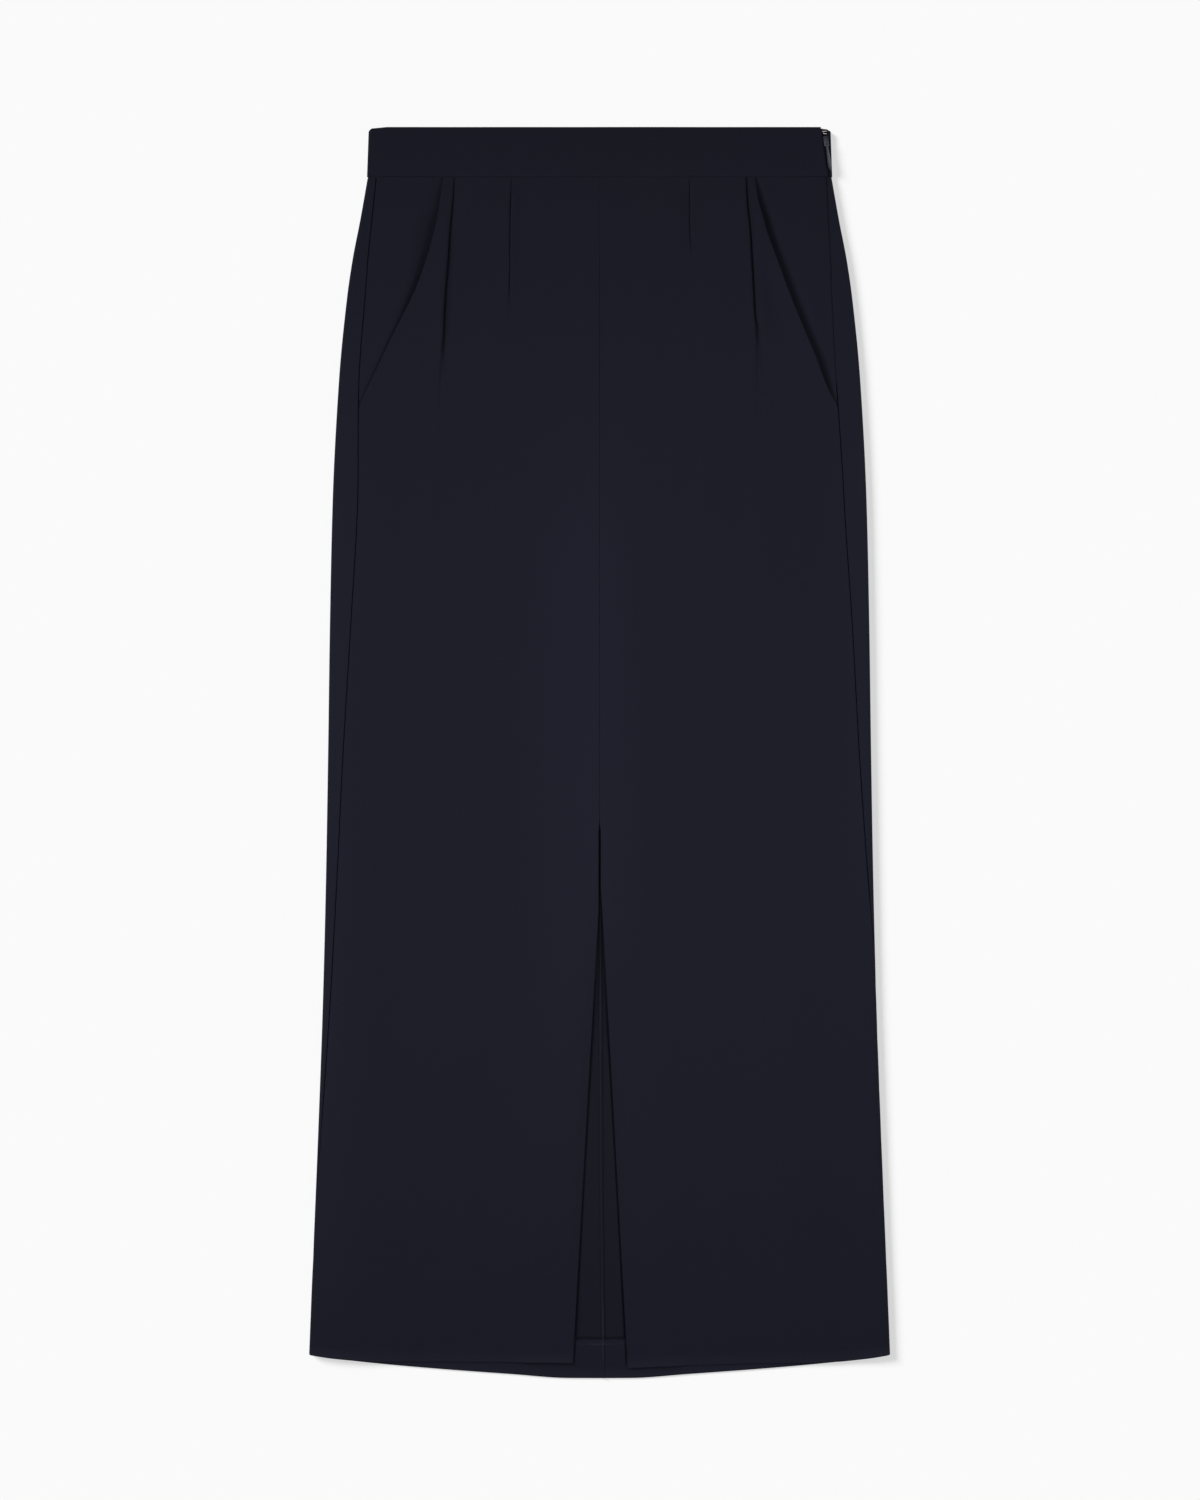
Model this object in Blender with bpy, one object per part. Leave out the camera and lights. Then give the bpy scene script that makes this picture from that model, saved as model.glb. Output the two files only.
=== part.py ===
"""A pleated maxi skirt, laid flat on its back with the front up.

Sizes and tables are in millimetres, and the meshes are written in metres. X runs across the skirt, +Y
towards the waist and +Z up from the surface it lies on. "down" is the distance from the top edge of the
waistband, measured along the skirt. A side is -1 for -X and +1 for +X, where the zip is.

The cloth is worked out in sections across the skirt. Each section is a flattened tube: a flat underside,
a round fold at each side, and a top that rests on the layers under it. A point of it is named by its run,
the distance along the section from the outermost point of the fold: positive on top, negative underneath.
"""

import math
from collections import namedtuple

import bpy

MM = 0.001
LENGTH = 1000.0  # top of the waistband to the lowest point of the back hem
HALF_LENGTH = LENGTH / 2

CLOTH = 1.0  # wall of one layer
GAP = 0.3  # between pieces that touch
SEAM = GAP / 2  # each piece stops this far from a seam's line
DOUBLE = 2.2  # a turned allowance, two layers thick
TURN_STEP = 0.7  # length over which a turned allowance ends

BAND_DEPTH = 40.0
BAND_WALL = 2.0  # the band is folded double
BAND_TOP = 6.2  # height of the band as it lies
BAND_HALF = 184.6  # half width at its upper edge
BAND_SPREAD = 1.3  # it widens by this to its lower edge
BAND_CORNER = 8.0  # width over which its upper corners drop
BAND_CORNER_DROP = 3.4
BAND_END = 20.0  # angle past the side at which the back of the band ends, in degrees
BAND_FRONT = 176.6  # where the front of the band ends at the zip, on its upper edge
BAND_FRONT_SLANT = 5.2  # and how much farther out it ends on its lower edge
BAND_SPOTS = (-170.0, -60.0, 60.0, 168.0)  # where its flat faces have spots

LOW = 2.4  # top face of the front where it lies on one layer of the back
WAIST_RISE = 3.0  # the pleats' layers lift the front
WAIST_FADE = (165.0, 120.0)  # from here down, over this length, they end
HEM_RISE = 2.5  # the turned-up hems lift it
HEM_FADE = 60.0  # over this length above them
CENTRE_RISE = 1.3  # the back seam's allowance lifts it
CENTRE_FADE = (20.0, 35.0)  # from here out, over this width, the lift ends
SLIT_RISE = 2.4  # and the edges turned in at the slit lift it more
EDGE_FADE = 30.0  # width over which the lift beside a hidden edge ends
END_FADE = 50.0  # and the length past its end
SIDE_SPAN = 34.0  # width over which the front rises to the side fold
SHARPNESS = 4  # how little neighbouring lifts add up
HEM_SIDE = 981.0  # the hem at the sides
HEM_BEND_FROM = 700.0  # below this the rows follow the hems' curves
HEM_DEPTH = 30.0
ALLOWANCE = 2.0  # the centre back seam's allowance, pressed over to -X
SLIT_TURN = 28.0  # width turned in along the slit
SLIT_TOP = 560.0
SLIT_PARTS = 600.0  # from here down its two edges draw apart
SLIT_SPREAD = 0.0546  # half opening for each millimetre below that

POCKET_END = 236.0
POCKET_DIP = 22.0  # width over which the hip piece dips to pass behind the pocket's mouth
HIP_GAP = 1.4  # from the front's face down to the hip piece's
PLEAT_FALL = 22.0  # width over which the cloth goes down to pass under a pleat
FALL_SPOTS = (PLEAT_FALL, 15.0, 8.0)  # distances before a pleat at which the cloth has a spot
PAST_PLEAT = 12.0  # and the distance past the inner one
FOLD_STEPS = 3  # facets in a pleat's fold
EDGE_WIDTH = 18.0  # width of the finer facets along the front's outer edge
EDGE_SHARE = 0.6  # and their share at most of what lies beyond the pleats

TAPE_WALL = 1.0
TAPE_HALF = 5.0
TAPE_OUT = 1.0  # the tape shows this far past the band's front end
TAPE_GAP = 0.4  # between the cloth and the tape behind it
TAPE_SINKS = 45.0  # from here down the tape lies behind the side seam

SLIDER_AT = (181.1, 12.6)  # the pull's axis: distance from the middle, down
SLIDER_SLANT = 8.5  # angle by which the zip's opening leans out, in degrees
AXIS_HEIGHT = 5.8
PULL_WALL = 0.7
PULL_LENGTH = 22.4  # from the axis
SLIDER_FOOT = (3.9, 4.9)  # levels of its flat body
BRIDGE_TOP = 7.1
BRIDGE_WALL = 0.9
BRIDGE_EYE = 0.68  # half the height of the eye that the pull's bar turns in
BRIDGE_ROOT = 0.3  # the bridge starts this far inside the body
WIRE = 0.4  # radius of the hook's wire
THREAD = 0.35  # and of the eye's thread

Row = namedtuple("Row", "down half fold left_seam right_seam")
# half: half the skirt's width; fold: height of the side fold; left_seam, right_seam: the side seam's run
OUTLINE = [
    Row(40, 185.3, 5.8, 8.7, 5.7),
    Row(74, 191.3, 6.0, 11.2, 10.2),
    Row(106, 197.5, 6.0, 14.2, 14.7),
    Row(138, 202.1, 6.0, 16.4, 18.2),
    Row(202, 208.3, 6.0, 17.9, 21.0),
    Row(300, 213.4, 6.0, 21.9, 19.7),
    Row(400, 215.6, 6.0, 18.5, 15.4),
    Row(500, 217.0, 6.0, 13.9, 11.3),
    Row(600, 218.7, 6.0, 10.7, 6.0),
    Row(700, 221.2, 6.0, 7.7, -0.5),
    Row(800, 224.8, 6.0, 4.2, -4.5),
    Row(900, 228.9, 6.0, 0.4, -7.5),
    Row(950, 231.0, 6.2, -1.6, -9.2),
    Row(981, 232.2, 6.2, -1.6, -9.2),
]

Mouth = namedtuple("Mouth", "down left right cover gape rise")
# left, right: the pocket mouth's distance from the middle; cover: how far the hip piece reaches behind it;
# gape: how far it stands open; rise: how far the hip piece lifts the front.
MOUTHS = [
    Mouth(40, 125.0, 124.2, 0.8, 0.0, 1.4),
    Mouth(74, 130.0, 130.9, 4.0, 0.5, 2.4),
    Mouth(122, 144.0, 147.4, 14.0, 0.9, 2.8),
    Mouth(170, 167.0, 166.6, 30.0, 0.8, 2.6),
    Mouth(204, 184.0, 180.1, 30.0, 0.4, 2.2),
    Mouth(224, 193.0, 191.5, 30.0, 0.0, 1.8),
]

Pleat = namedtuple("Pleat", "down outer outer_turn outer_bend outer_tuck "
                            "inner inner_turn inner_bend inner_tuck")
# outer, inner: the fold edge's distance from the middle; turn: the angle the cloth is folded through;
# bend: the radius of the fold; tuck: the width hidden under it.
PLEATS = [
    Pleat(40, 117.3, 180, 0.65, 3.4, 71.6, 180, 0.65, 9.0),
    Pleat(90, 119.8, 180, 0.65, 4.4, 72.0, 180, 0.65, 8.0),
    Pleat(145, 123.2, 180, 0.65, 1.4, 72.8, 180, 0.65, 1.0),
    Pleat(178, 125.2, 115, 0.65, 0.7, 73.6, 90, 0.65, 0.6),
    Pleat(212, 126.6, 55, 0.65, 0.5, 74.2, 25, 0.65, 0.5),
    Pleat(250, 127.6, 0, 0.80, 1.0, 74.6, 0, 0.80, 1.0),
    Pleat(340, 127.6, 0, 3.00, 4.0, 74.6, 0, 3.00, 4.0),
]

Hem = namedtuple("Hem", "out back left right")
# how far down the back's hem and the two front panels' hems hang, at a distance out from the middle
HEMS = [
    Hem(0, 1000.0, 987.8, 991.6),
    Hem(25, 999.9, 987.5, 991.2),
    Hem(70, 996.8, 987.0, 989.4),
    Hem(130, 992.4, 986.4, 987.6),
    Hem(185, 987.5, 986.1, 986.9),
    Hem(212, 984.3, 983.9, 984.2),
    Hem(232, 980.8, 980.8, 980.8),
]

SeamPoint = namedtuple("SeamPoint", "down out")
# where the centre back seam lies, a little to one side of the middle
BACK_SEAM = [
    SeamPoint(40, 1.4),
    SeamPoint(700, 2.0),
    SeamPoint(820, 2.5),
    SeamPoint(900, 3.4),
    SeamPoint(950, 4.1),
    SeamPoint(981, 4.2),
]

ROWS = (60, 84, 112, 138, 160, 182, 204, 226, 250, 300, 400, 558, 600, 650, 700, 800, 850, 900)
ZIP_ROWS = (7, 24, 41, 60, 84, 112, 138, 160, 182, 204)

Spot = namedtuple("Spot", "x z turn thick")
# a point of a section, half a layer under its face, the direction it runs in, in radians, and the wall there


def ease(share):
    """1 at 0 and below, 0 at 1 and above, with level ends."""
    share = min(max(share, 0.0), 1.0)
    return 1 - share * share * (3 - 2 * share)


def look_up(table, column, at):
    """A column at a value of the table's first column, on a smooth curve that stays within its rows."""
    rows = [(row[0], getattr(row, column)) for row in table]
    if at <= rows[0][0]:
        return rows[0][1]
    if at >= rows[-1][0]:
        return rows[-1][1]
    slopes = [(b[1] - a[1]) / (b[0] - a[0]) for a, b in zip(rows, rows[1:])]
    bends = [slopes[0]]
    for before, after in zip(slopes, slopes[1:]):
        same_way = before * after > 0
        bends.append(2 * before * after / (before + after) if same_way else 0.0)
    bends.append(slopes[-1])
    k = max(i for i in range(len(slopes)) if rows[i][0] <= at)
    step = rows[k + 1][0] - rows[k][0]
    t = (at - rows[k][0]) / step
    weight = ease(t)
    swing = step * t * (1 - t) * ((1 - t) * bends[k] - t * bends[k + 1])
    return rows[k][1] * weight + rows[k + 1][1] * (1 - weight) + swing


def spread(first, last, count):
    """Values from first to last in equal steps, without the first."""
    return [first + (last - first) * k / count for k in range(1, count + 1)]


def lean(height, x):
    """The angle at which a height rises across the skirt, away from the middle."""
    return math.atan(height(x + 0.5) - height(x - 0.5))


def half_width(down):
    return look_up(OUTLINE, "half", down)


def fold_radius(down):
    return look_up(OUTLINE, "fold", down) / 2


def fold_quarter(down):
    """The run from the outermost point of the side fold to its top."""
    return fold_radius(down) * math.pi / 2


def run_at(x, down):
    """The run of a point on top of the skirt, from its distance from the middle."""
    inset = half_width(down) - x
    radius = fold_radius(down)
    if inset < radius:
        return radius * math.acos(1 - max(inset, 0.0) / radius)
    return fold_quarter(down) + inset - radius


def side_seam(down, side):
    return look_up(OUTLINE, "left_seam" if side < 0 else "right_seam", down)


def mouth(down, side):
    return look_up(MOUTHS, "left" if side < 0 else "right", down)


def mouth_cover(down):
    return look_up(MOUTHS, "cover", down)


def slit_half(down):
    return max(SEAM, SLIT_SPREAD * (down - SLIT_PARTS))


def hem_drop(piece, x, down):
    """How far a row is drawn down by its piece's hem at a distance from the middle."""
    share = 1 - ease((down - HEM_BEND_FROM) / (HEM_SIDE - HEM_BEND_FROM))
    return share * (look_up(HEMS, piece, abs(x)) - HEM_SIDE)


def rest_level(x, down, side):
    """Height of the front's face before the side folds lift it: it rests on the layers under it."""
    waist = WAIST_RISE * ease((down - WAIST_FADE[0]) / WAIST_FADE[1])
    hem = HEM_RISE * ease((HEM_SIDE - HEM_DEPTH - 2 - down) / HEM_FADE)
    centre = CENTRE_RISE * ease((x - CENTRE_FADE[0]) / CENTRE_FADE[1])
    slit = SLIT_RISE * ease((x - slit_half(down) - SLIT_TURN - 1) / EDGE_FADE)
    slit *= ease((SLIT_TOP - 2 - down) / END_FADE)
    pocket = look_up(MOUTHS, "rise", down) * ease((mouth(down, side) - mouth_cover(down) - 1 - x) / EDGE_FADE)
    pocket *= ease((down - POCKET_END) / END_FADE)
    lifts = (waist, hem, centre, slit, pocket)
    return LOW + sum(lift**SHARPNESS for lift in lifts) ** (1 / SHARPNESS)


def top_height(x, down, side):
    """Height of the front's face, without its pleats."""
    level = rest_level(x, down, side)
    shoulder = half_width(down) - fold_radius(down)
    return level + (2 * fold_radius(down) - level) * ease((shoulder - x) / SIDE_SPAN)


def wall_spot(run, down, side, thick=CLOTH, deep=CLOTH / 2):
    """A point of the wall at a run, deep under its outer face."""
    radius = fold_radius(down)
    quarter = fold_quarter(down)
    if run > quarter:
        x = half_width(down) - radius - (run - quarter)
        turn = lean(lambda at: top_height(at, down, side), x)
        z = top_height(x, down, side)
        return Spot(x + deep * math.sin(turn), z - deep * math.cos(turn), turn, thick)
    if run < -quarter:
        x = half_width(down) - radius + (run + quarter)
        return Spot(x, deep, -math.pi, thick)
    angle = run / radius
    x = half_width(down) - radius + (radius - deep) * math.cos(angle)
    return Spot(x, radius + (radius - deep) * math.sin(angle), angle - math.pi / 2, thick)


class PleatFold:
    """One pleat at a distance down: the cloth goes down, under the fold edge, back up and out again."""

    def __init__(self, which, down):
        self.edge = look_up(PLEATS, which, down)
        self.turn = math.radians(look_up(PLEATS, which + "_turn", down))
        self.bend = look_up(PLEATS, which + "_bend", down)
        self.tuck = look_up(PLEATS, which + "_tuck", down)
        self.path = self.walk()
        self.start = self.edge + CLOTH / 2 - min(x for x, z, turn in self.path)
        self.lift = self.path[-1][1]
        self.end = self.start + self.path[-1][0]

    def walk(self):
        """Points (x, z, turn) from the under layer, through the two folds and on to the upper layer."""
        step = self.turn / FOLD_STEPS
        chord = 2 * self.bend * math.sin(step / 2) if step > 0.01 else self.bend * math.pi / FOLD_STEPS
        shares = [(chord, k / FOLD_STEPS) for k in range(1, FOLD_STEPS + 1)]
        shares.append((self.tuck, 1.0))
        shares += [(chord, 1 - k / FOLD_STEPS) for k in range(1, FOLD_STEPS + 1)]
        x = z = turn = 0.0
        path = []
        for length, share in shares:
            heading = (turn + share * self.turn) / 2
            turn = share * self.turn
            x += length * math.cos(heading)
            z += length * math.sin(heading)
            path.append((x, z, turn))
        return path

    def dip(self, x):
        """How far the cloth on the middle's side of the pleat has gone down at a distance from the middle."""
        return self.lift * ease((self.start - x) / PLEAT_FALL) if x <= self.start else 0.0

    def spots(self, down, side, thick):
        for x, z, turn in [(0.0, 0.0, 0.0), *self.path]:
            x += self.start
            yield Spot(x, top_height(x, down, side) - CLOTH / 2 - self.lift + z, turn, thick)


def front_section(down, side):
    """The front from the centre seam or the slit out to the pocket's mouth or the side seam."""
    turned = down > HEM_SIDE - HEM_DEPTH
    thick = DOUBLE if turned else CLOTH
    edge_thick = DOUBLE if turned or down > SLIT_TOP else CLOTH
    edge = slit_half(down)
    inner, outer = PleatFold("inner", down), PleatFold("outer", down)

    def spot(x, thickness, pleat):
        fall = lean(pleat.dip, x) if pleat.start - x > 0.5 else 0.0
        flat = wall_spot(run_at(x, down), down, side, thickness)
        return flat._replace(z=flat.z - pleat.dip(x), turn=flat.turn - fall)

    turn_in = edge + SLIT_TURN
    spots = [spot(x, edge_thick, inner) for x in (edge, turn_in)]
    spots.append(spot(turn_in + TURN_STEP, thick, inner))
    spots += [spot(inner.start - back, thick, inner) for back in FALL_SPOTS]
    spots += inner.spots(down, side, thick)
    spots.append(spot(inner.end + PAST_PLEAT, thick, outer))
    spots += [spot(outer.start - back, thick, outer) for back in FALL_SPOTS]
    spots += outer.spots(down, side, thick)
    bound = side_seam(down, side) + SEAM
    if down < MOUTHS[-1].down:
        bound = max(bound, run_at(mouth(down, side), down))
    first = run_at(outer.end, down)
    edge_width = min(EDGE_WIDTH, EDGE_SHARE * (first - bound))
    for run in [*spread(first, bound + edge_width, 2), *spread(bound + edge_width, bound, 6)]:
        spots.append(wall_spot(run, down, side, thick))
    return spots


def back_section(down, side):
    """The back from the side seam, round the fold and under the skirt to the centre back seam."""
    thick = DOUBLE if down > HEM_SIDE - HEM_DEPTH else CLOTH
    seam = side * look_up(BACK_SEAM, "out", down)
    shoulder = half_width(down) - fold_radius(down)
    quarter = fold_quarter(down)
    bound = side_seam(down, side) - SEAM
    start = min(-quarter, bound - 6)
    wrap_end = min(quarter, bound - 2)
    runs = [start, *spread(start, wrap_end, 6), *spread(wrap_end, bound, 3)]
    spots = [wall_spot(run, down, side, thick) for run in reversed(runs)]
    pressed = DOUBLE if side < 0 else thick
    flats = [(shoulder * 0.5, thick), (seam + ALLOWANCE + TURN_STEP, thick)]
    flats += [(seam + ALLOWANCE, pressed), (seam + SEAM, pressed)]
    spots += [Spot(x, CLOTH / 2, -math.pi, wall) for x, wall in flats]
    return spots


def hip_dip(x, down, side):
    """How far the hip piece lies under the level of the front, to pass behind the pocket's mouth."""
    gape = look_up(MOUTHS, "gape", down)
    return (HIP_GAP + gape) * ease((x - mouth(down, side)) / POCKET_DIP)


def hip_section(down, side):
    """The hip piece from behind the pocket's mouth out to the side seam."""
    first = run_at(mouth(down, side) - mouth_cover(down), down)
    bound = side_seam(down, side) + SEAM
    spots = []
    for run in [first, *spread(first, bound, 8)]:
        flat = wall_spot(run, down, side)
        fall = lean(lambda x: hip_dip(x, down, side), flat.x)
        spots.append(flat._replace(z=flat.z - hip_dip(flat.x, down, side), turn=flat.turn - fall))
    return spots


def tape_section(down, side):
    """The closed zip: level between the band's two faces, and behind the side seam below it."""
    reach = (1.0, 0.5, 0.0, -0.5, -1.0)
    if down < TAPE_SINKS:
        middle = band_front_end(down) + TAPE_OUT - TAPE_HALF
        return [Spot(middle - TAPE_HALF * r, BAND_TOP / 2, 0.0, TAPE_WALL) for r in reach]
    seam = side_seam(down, side)
    deep = CLOTH + TAPE_GAP + TAPE_WALL / 2
    spots = []
    for r in reach:
        spot = wall_spot(seam + TAPE_HALF * r, down, side, TAPE_WALL, deep)
        spots.append(spot._replace(z=spot.z - hip_dip(spot.x, down, side)))
    return spots


def band_front_end(down):
    """Where the front of the band ends at the zip."""
    return BAND_FRONT + BAND_FRONT_SLANT * down / BAND_DEPTH


def band_section(down):
    """The band from the back's end at the zip, under the skirt, round the plain side and over the front."""
    radius = BAND_TOP / 2
    centre = BAND_HALF + BAND_SPREAD * down / BAND_DEPTH - radius
    spots = []

    def arc(middle, first, last, count):
        for angle in [first, *spread(first, last, count)]:
            angle = math.radians(angle)
            x = middle + (radius - CLOTH / 2) * math.cos(angle)
            z = radius + (radius - CLOTH / 2) * math.sin(angle)
            spots.append(Spot(x, z, angle - math.pi / 2, BAND_WALL))

    arc(centre, BAND_END, -90, 5)
    spots.extend(Spot(x, CLOTH / 2, -math.pi, BAND_WALL) for x in reversed(BAND_SPOTS))
    arc(-centre, -90, -270, 8)
    flats = (*BAND_SPOTS, band_front_end(down))
    spots.extend(Spot(x, BAND_TOP - CLOTH / 2, 0.0, BAND_WALL) for x in flats)
    return spots


def band_drop(x):
    """How far the band's upper edge is down at its rounded corners."""
    past = (abs(x) - BAND_HALF + BAND_CORNER) / BAND_CORNER
    return BAND_CORNER_DROP * min(max(past, 0.0), 1.0) ** 2.5


def add_material(name, colour, roughness, metallic=0.0):
    material = bpy.data.materials.new(name)
    material.use_nodes = True
    shader = material.node_tree.nodes["Principled BSDF"]
    shader.inputs["Base Color"].default_value = (*colour, 1.0)
    shader.inputs["Roughness"].default_value = roughness
    shader.inputs["Metallic"].default_value = metallic
    return material


def add_object(name, points, faces, material, origin=(0.0, 0.0, 0.0)):
    """A mesh object from points in millimetres, smooth where its faces nearly agree."""
    mesh = bpy.data.meshes.new(name)
    mesh.from_pydata([[(c - o) * MM for c, o in zip(point, origin)] for point in points], [], faces)
    mesh.materials.append(material)
    mesh.shade_smooth()
    mesh.set_sharp_from_angle(angle=math.radians(35))
    made = bpy.data.objects.new(name, mesh)
    made.location = [o * MM for o in origin]
    bpy.context.scene.collection.objects.link(made)
    return made


def add_sheet(name, grid, side, material):
    """A closed sheet from a grid of pairs (outer point, inner point): two faces and the rim between them."""
    across = len(grid[0])
    outer = [pair[0] for row in grid for pair in row]
    inner = [pair[1] for row in grid for pair in row]
    count = len(outer)
    faces = []
    for i in range(len(grid) - 1):
        for j in range(across - 1):
            a = i * across + j
            quad = (a, a + 1, a + 1 + across, a + across)
            faces += [quad[::-1], tuple(count + k for k in quad)]
    top = list(range(across))
    last = [i * across + across - 1 for i in range(1, len(grid))]
    bottom = list(range(count - 2, count - across - 1, -1))
    first = [i * across for i in range(len(grid) - 2, 0, -1)]
    rim = top + last + bottom + first
    for a, b in zip(rim, rim[1:] + rim[:1]):
        if a < b:  # both pieces that meet at a seam are split along the same diagonal
            faces += [(a, b, count + b), (a, count + b, count + a)]
        else:
            faces += [(a, b, count + a), (b, count + b, count + a)]
    if side < 0:
        faces = [face[::-1] for face in faces]
    return add_object(name, outer + inner, faces, material)


def both_faces(spot, side, y):
    """A spot's point on the outer face and its point on the inner one."""
    normal = -math.sin(spot.turn), math.cos(spot.turn)
    outer = CLOTH / 2
    inner = CLOTH / 2 - spot.thick
    return [(side * (spot.x + normal[0] * off), y, spot.z + normal[1] * off) for off in (outer, inner)]


def add_cloth(name, rows, section, side, hem, material):
    """A sheet of cloth through sections at the rows, drawn down to its hem if it has one."""
    grid = []
    for down in rows:
        spots = section(down, side)
        drops = [hem_drop(hem, spot.x, down) if hem else 0.0 for spot in spots]
        ys = [HALF_LENGTH - down - drop for drop in drops]
        grid.append([both_faces(spot, side, y) for spot, y in zip(spots, ys)])
    return add_sheet(name, grid, side, material)


def add_band(material):
    grid = []
    bottom = BAND_DEPTH - SEAM
    for share in (0.0, 0.12, 0.5, 1.0):
        row = []
        for spot in band_section(bottom * share):
            drop = band_drop(spot.x)
            y = HALF_LENGTH - drop - (bottom - drop) * share
            row.append(both_faces(spot, 1, y))
        grid.append(row)
    return add_sheet("waistband", grid, 1, material)


def on_slider(out, along, z):
    """A point beside the pull's axis: out across the zip's opening, along it towards the hem, at height z."""
    slant = math.radians(SLIDER_SLANT)
    x = SLIDER_AT[0] + out * math.cos(slant) + along * math.sin(slant)
    y = HALF_LENGTH - SLIDER_AT[1] + out * math.sin(slant) - along * math.cos(slant)
    return x, y, z


def add_plate(name, loops, low, high, place, material, origin=(0.0, 0.0, 0.0)):
    """A plate between two levels from an outline and perhaps a hole of as many points, both running the same
    way round. place(a, b, level) gives a point, with a, b and level left-handed."""
    rings = [[place(a, b, level) for a, b in loop] for loop in loops for level in (low, high)]
    size = len(loops[0])
    points = [point for ring in rings for point in ring]
    faces = []
    for k in range(size):
        n = (k + 1) % size
        faces.append((k, n, size + n, size + k))
        if len(loops) > 1:
            faces.append((3 * size + k, 3 * size + n, 2 * size + n, 2 * size + k))
            faces.append((size + k, size + n, 3 * size + n, 3 * size + k))
            faces.append((2 * size + k, 2 * size + n, n, k))
    if len(loops) == 1:
        faces.append(tuple(range(size - 1, -1, -1)))
        faces.append(tuple(range(size, 2 * size)))
    return add_object(name, points, [face[::-1] for face in faces], material, origin)


def rounded(half_out, near, far, corner):
    """An outline with cut corners, in (out, along)."""
    a, b, c, d = half_out - corner, half_out, near + corner, far - corner
    right = [(a, near), (b, c), (b, d), (a, far)]
    return right + [(-out, along) for out, along in reversed(right)]


def add_slider(material):
    """The slider's flat body, with the bridge that holds the pull standing on it."""
    body = add_plate("zip_slider", [rounded(2.0, -5.4, 2.6, 0.9)], *SLIDER_FOOT, on_slider, material)
    foot = SLIDER_FOOT[1] - BRIDGE_ROOT
    low, high = AXIS_HEIGHT - BRIDGE_EYE, AXIS_HEIGHT + BRIDGE_EYE
    outline = [(-4.6, foot), (1.8, foot), (1.8, high), (1.2, BRIDGE_TOP), (-4.0, BRIDGE_TOP), (-4.6, high)]
    eye = [(-0.8, low), (0.8, low), (0.8, AXIS_HEIGHT), (0.8, high), (-0.8, high), (-0.8, AXIS_HEIGHT)]

    def on_edge(along, z, out):
        return on_slider(out, along, z)

    half = BRIDGE_WALL / 2
    bridge = add_plate("bridge", [outline, eye], -half, half, on_edge, material)
    union = body.modifiers.new("bridge", "BOOLEAN")
    union.operation = "UNION"
    union.solver = "EXACT"
    union.object = bridge
    graph = bpy.context.evaluated_depsgraph_get()
    joined = bpy.data.meshes.new_from_object(body.evaluated_get(graph))
    body.modifiers.clear()
    body.data = joined
    joined.set_sharp_from_angle(angle=math.radians(35))
    bpy.data.objects.remove(bridge)


def add_pull(material):
    """The teardrop tab. Its origin is on the axis that it turns about."""
    right = [(1.1, -0.3), (1.4, 0.1), (1.4, 2.0), (1.0, 4.0), (1.1, 8.0), (1.45, 14.0)]
    right += [(1.5, 18.4), (1.1, 21.2), (0.45, PULL_LENGTH)]
    eye = [(0.5, 0.3), (0.75, 0.5), (0.75, 1.0), (0.75, 1.5), (0.75, 1.8), (0.75, 2.1)]
    eye += [(0.6, 2.3), (0.4, 2.4), (0.15, 2.4)]
    loops = [half + [(-out, along) for out, along in reversed(half)] for half in (right, eye)]
    half = PULL_WALL / 2
    low, high = AXIS_HEIGHT - half, AXIS_HEIGHT + half
    axis = on_slider(0.0, 0.0, AXIS_HEIGHT)
    add_plate("zip_pull", loops, low, high, on_slider, material, axis)


def add_wire(name, path, z, radius, material):
    """A round wire along a level path of (x, down)."""
    sides = 8
    points = []
    for k, (x, down) in enumerate(path):
        before, after = path[max(k - 1, 0)], path[min(k + 1, len(path) - 1)]
        length = math.hypot(after[0] - before[0], after[1] - before[1])
        across = (after[1] - before[1]) / length, (after[0] - before[0]) / length
        for side in range(sides):
            angle = 2 * math.pi * side / sides
            out = radius * math.cos(angle)
            y = HALF_LENGTH - down
            points.append((x + across[0] * out, y + across[1] * out, z + radius * math.sin(angle)))
    faces = []
    for k in range(len(path) - 1):
        for side in range(sides):
            a, b = k * sides + side, k * sides + (side + 1) % sides
            faces.append((a, b, b + sides, a + sides))
    faces.append(tuple(range(sides - 1, -1, -1)))
    faces.append(tuple(range(len(points) - sides, len(points))))
    return add_object(name, points, faces, material)


def add_hook_and_eye(metal, thread):
    """The hook lies on the inside of the band's back end, and the thread eye on the front's end."""
    hook = [(181.6, 3.0), (179.4, 3.0), (178.6, 3.3), (178.3, 4.0), (178.6, 4.7), (179.4, 5.0), (181.6, 5.0)]
    add_wire("hook", hook, BAND_WALL + GAP + WIRE, WIRE, metal)
    end = band_front_end(2.6) + GAP
    eye = [(end, 1.5), (end + 0.7, 1.6), (end + 1.3, 2.5), (end + 0.7, 3.4), (end, 3.5)]
    add_wire("hook_eye", eye, BAND_TOP - 1.2, THREAD, thread)


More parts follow.
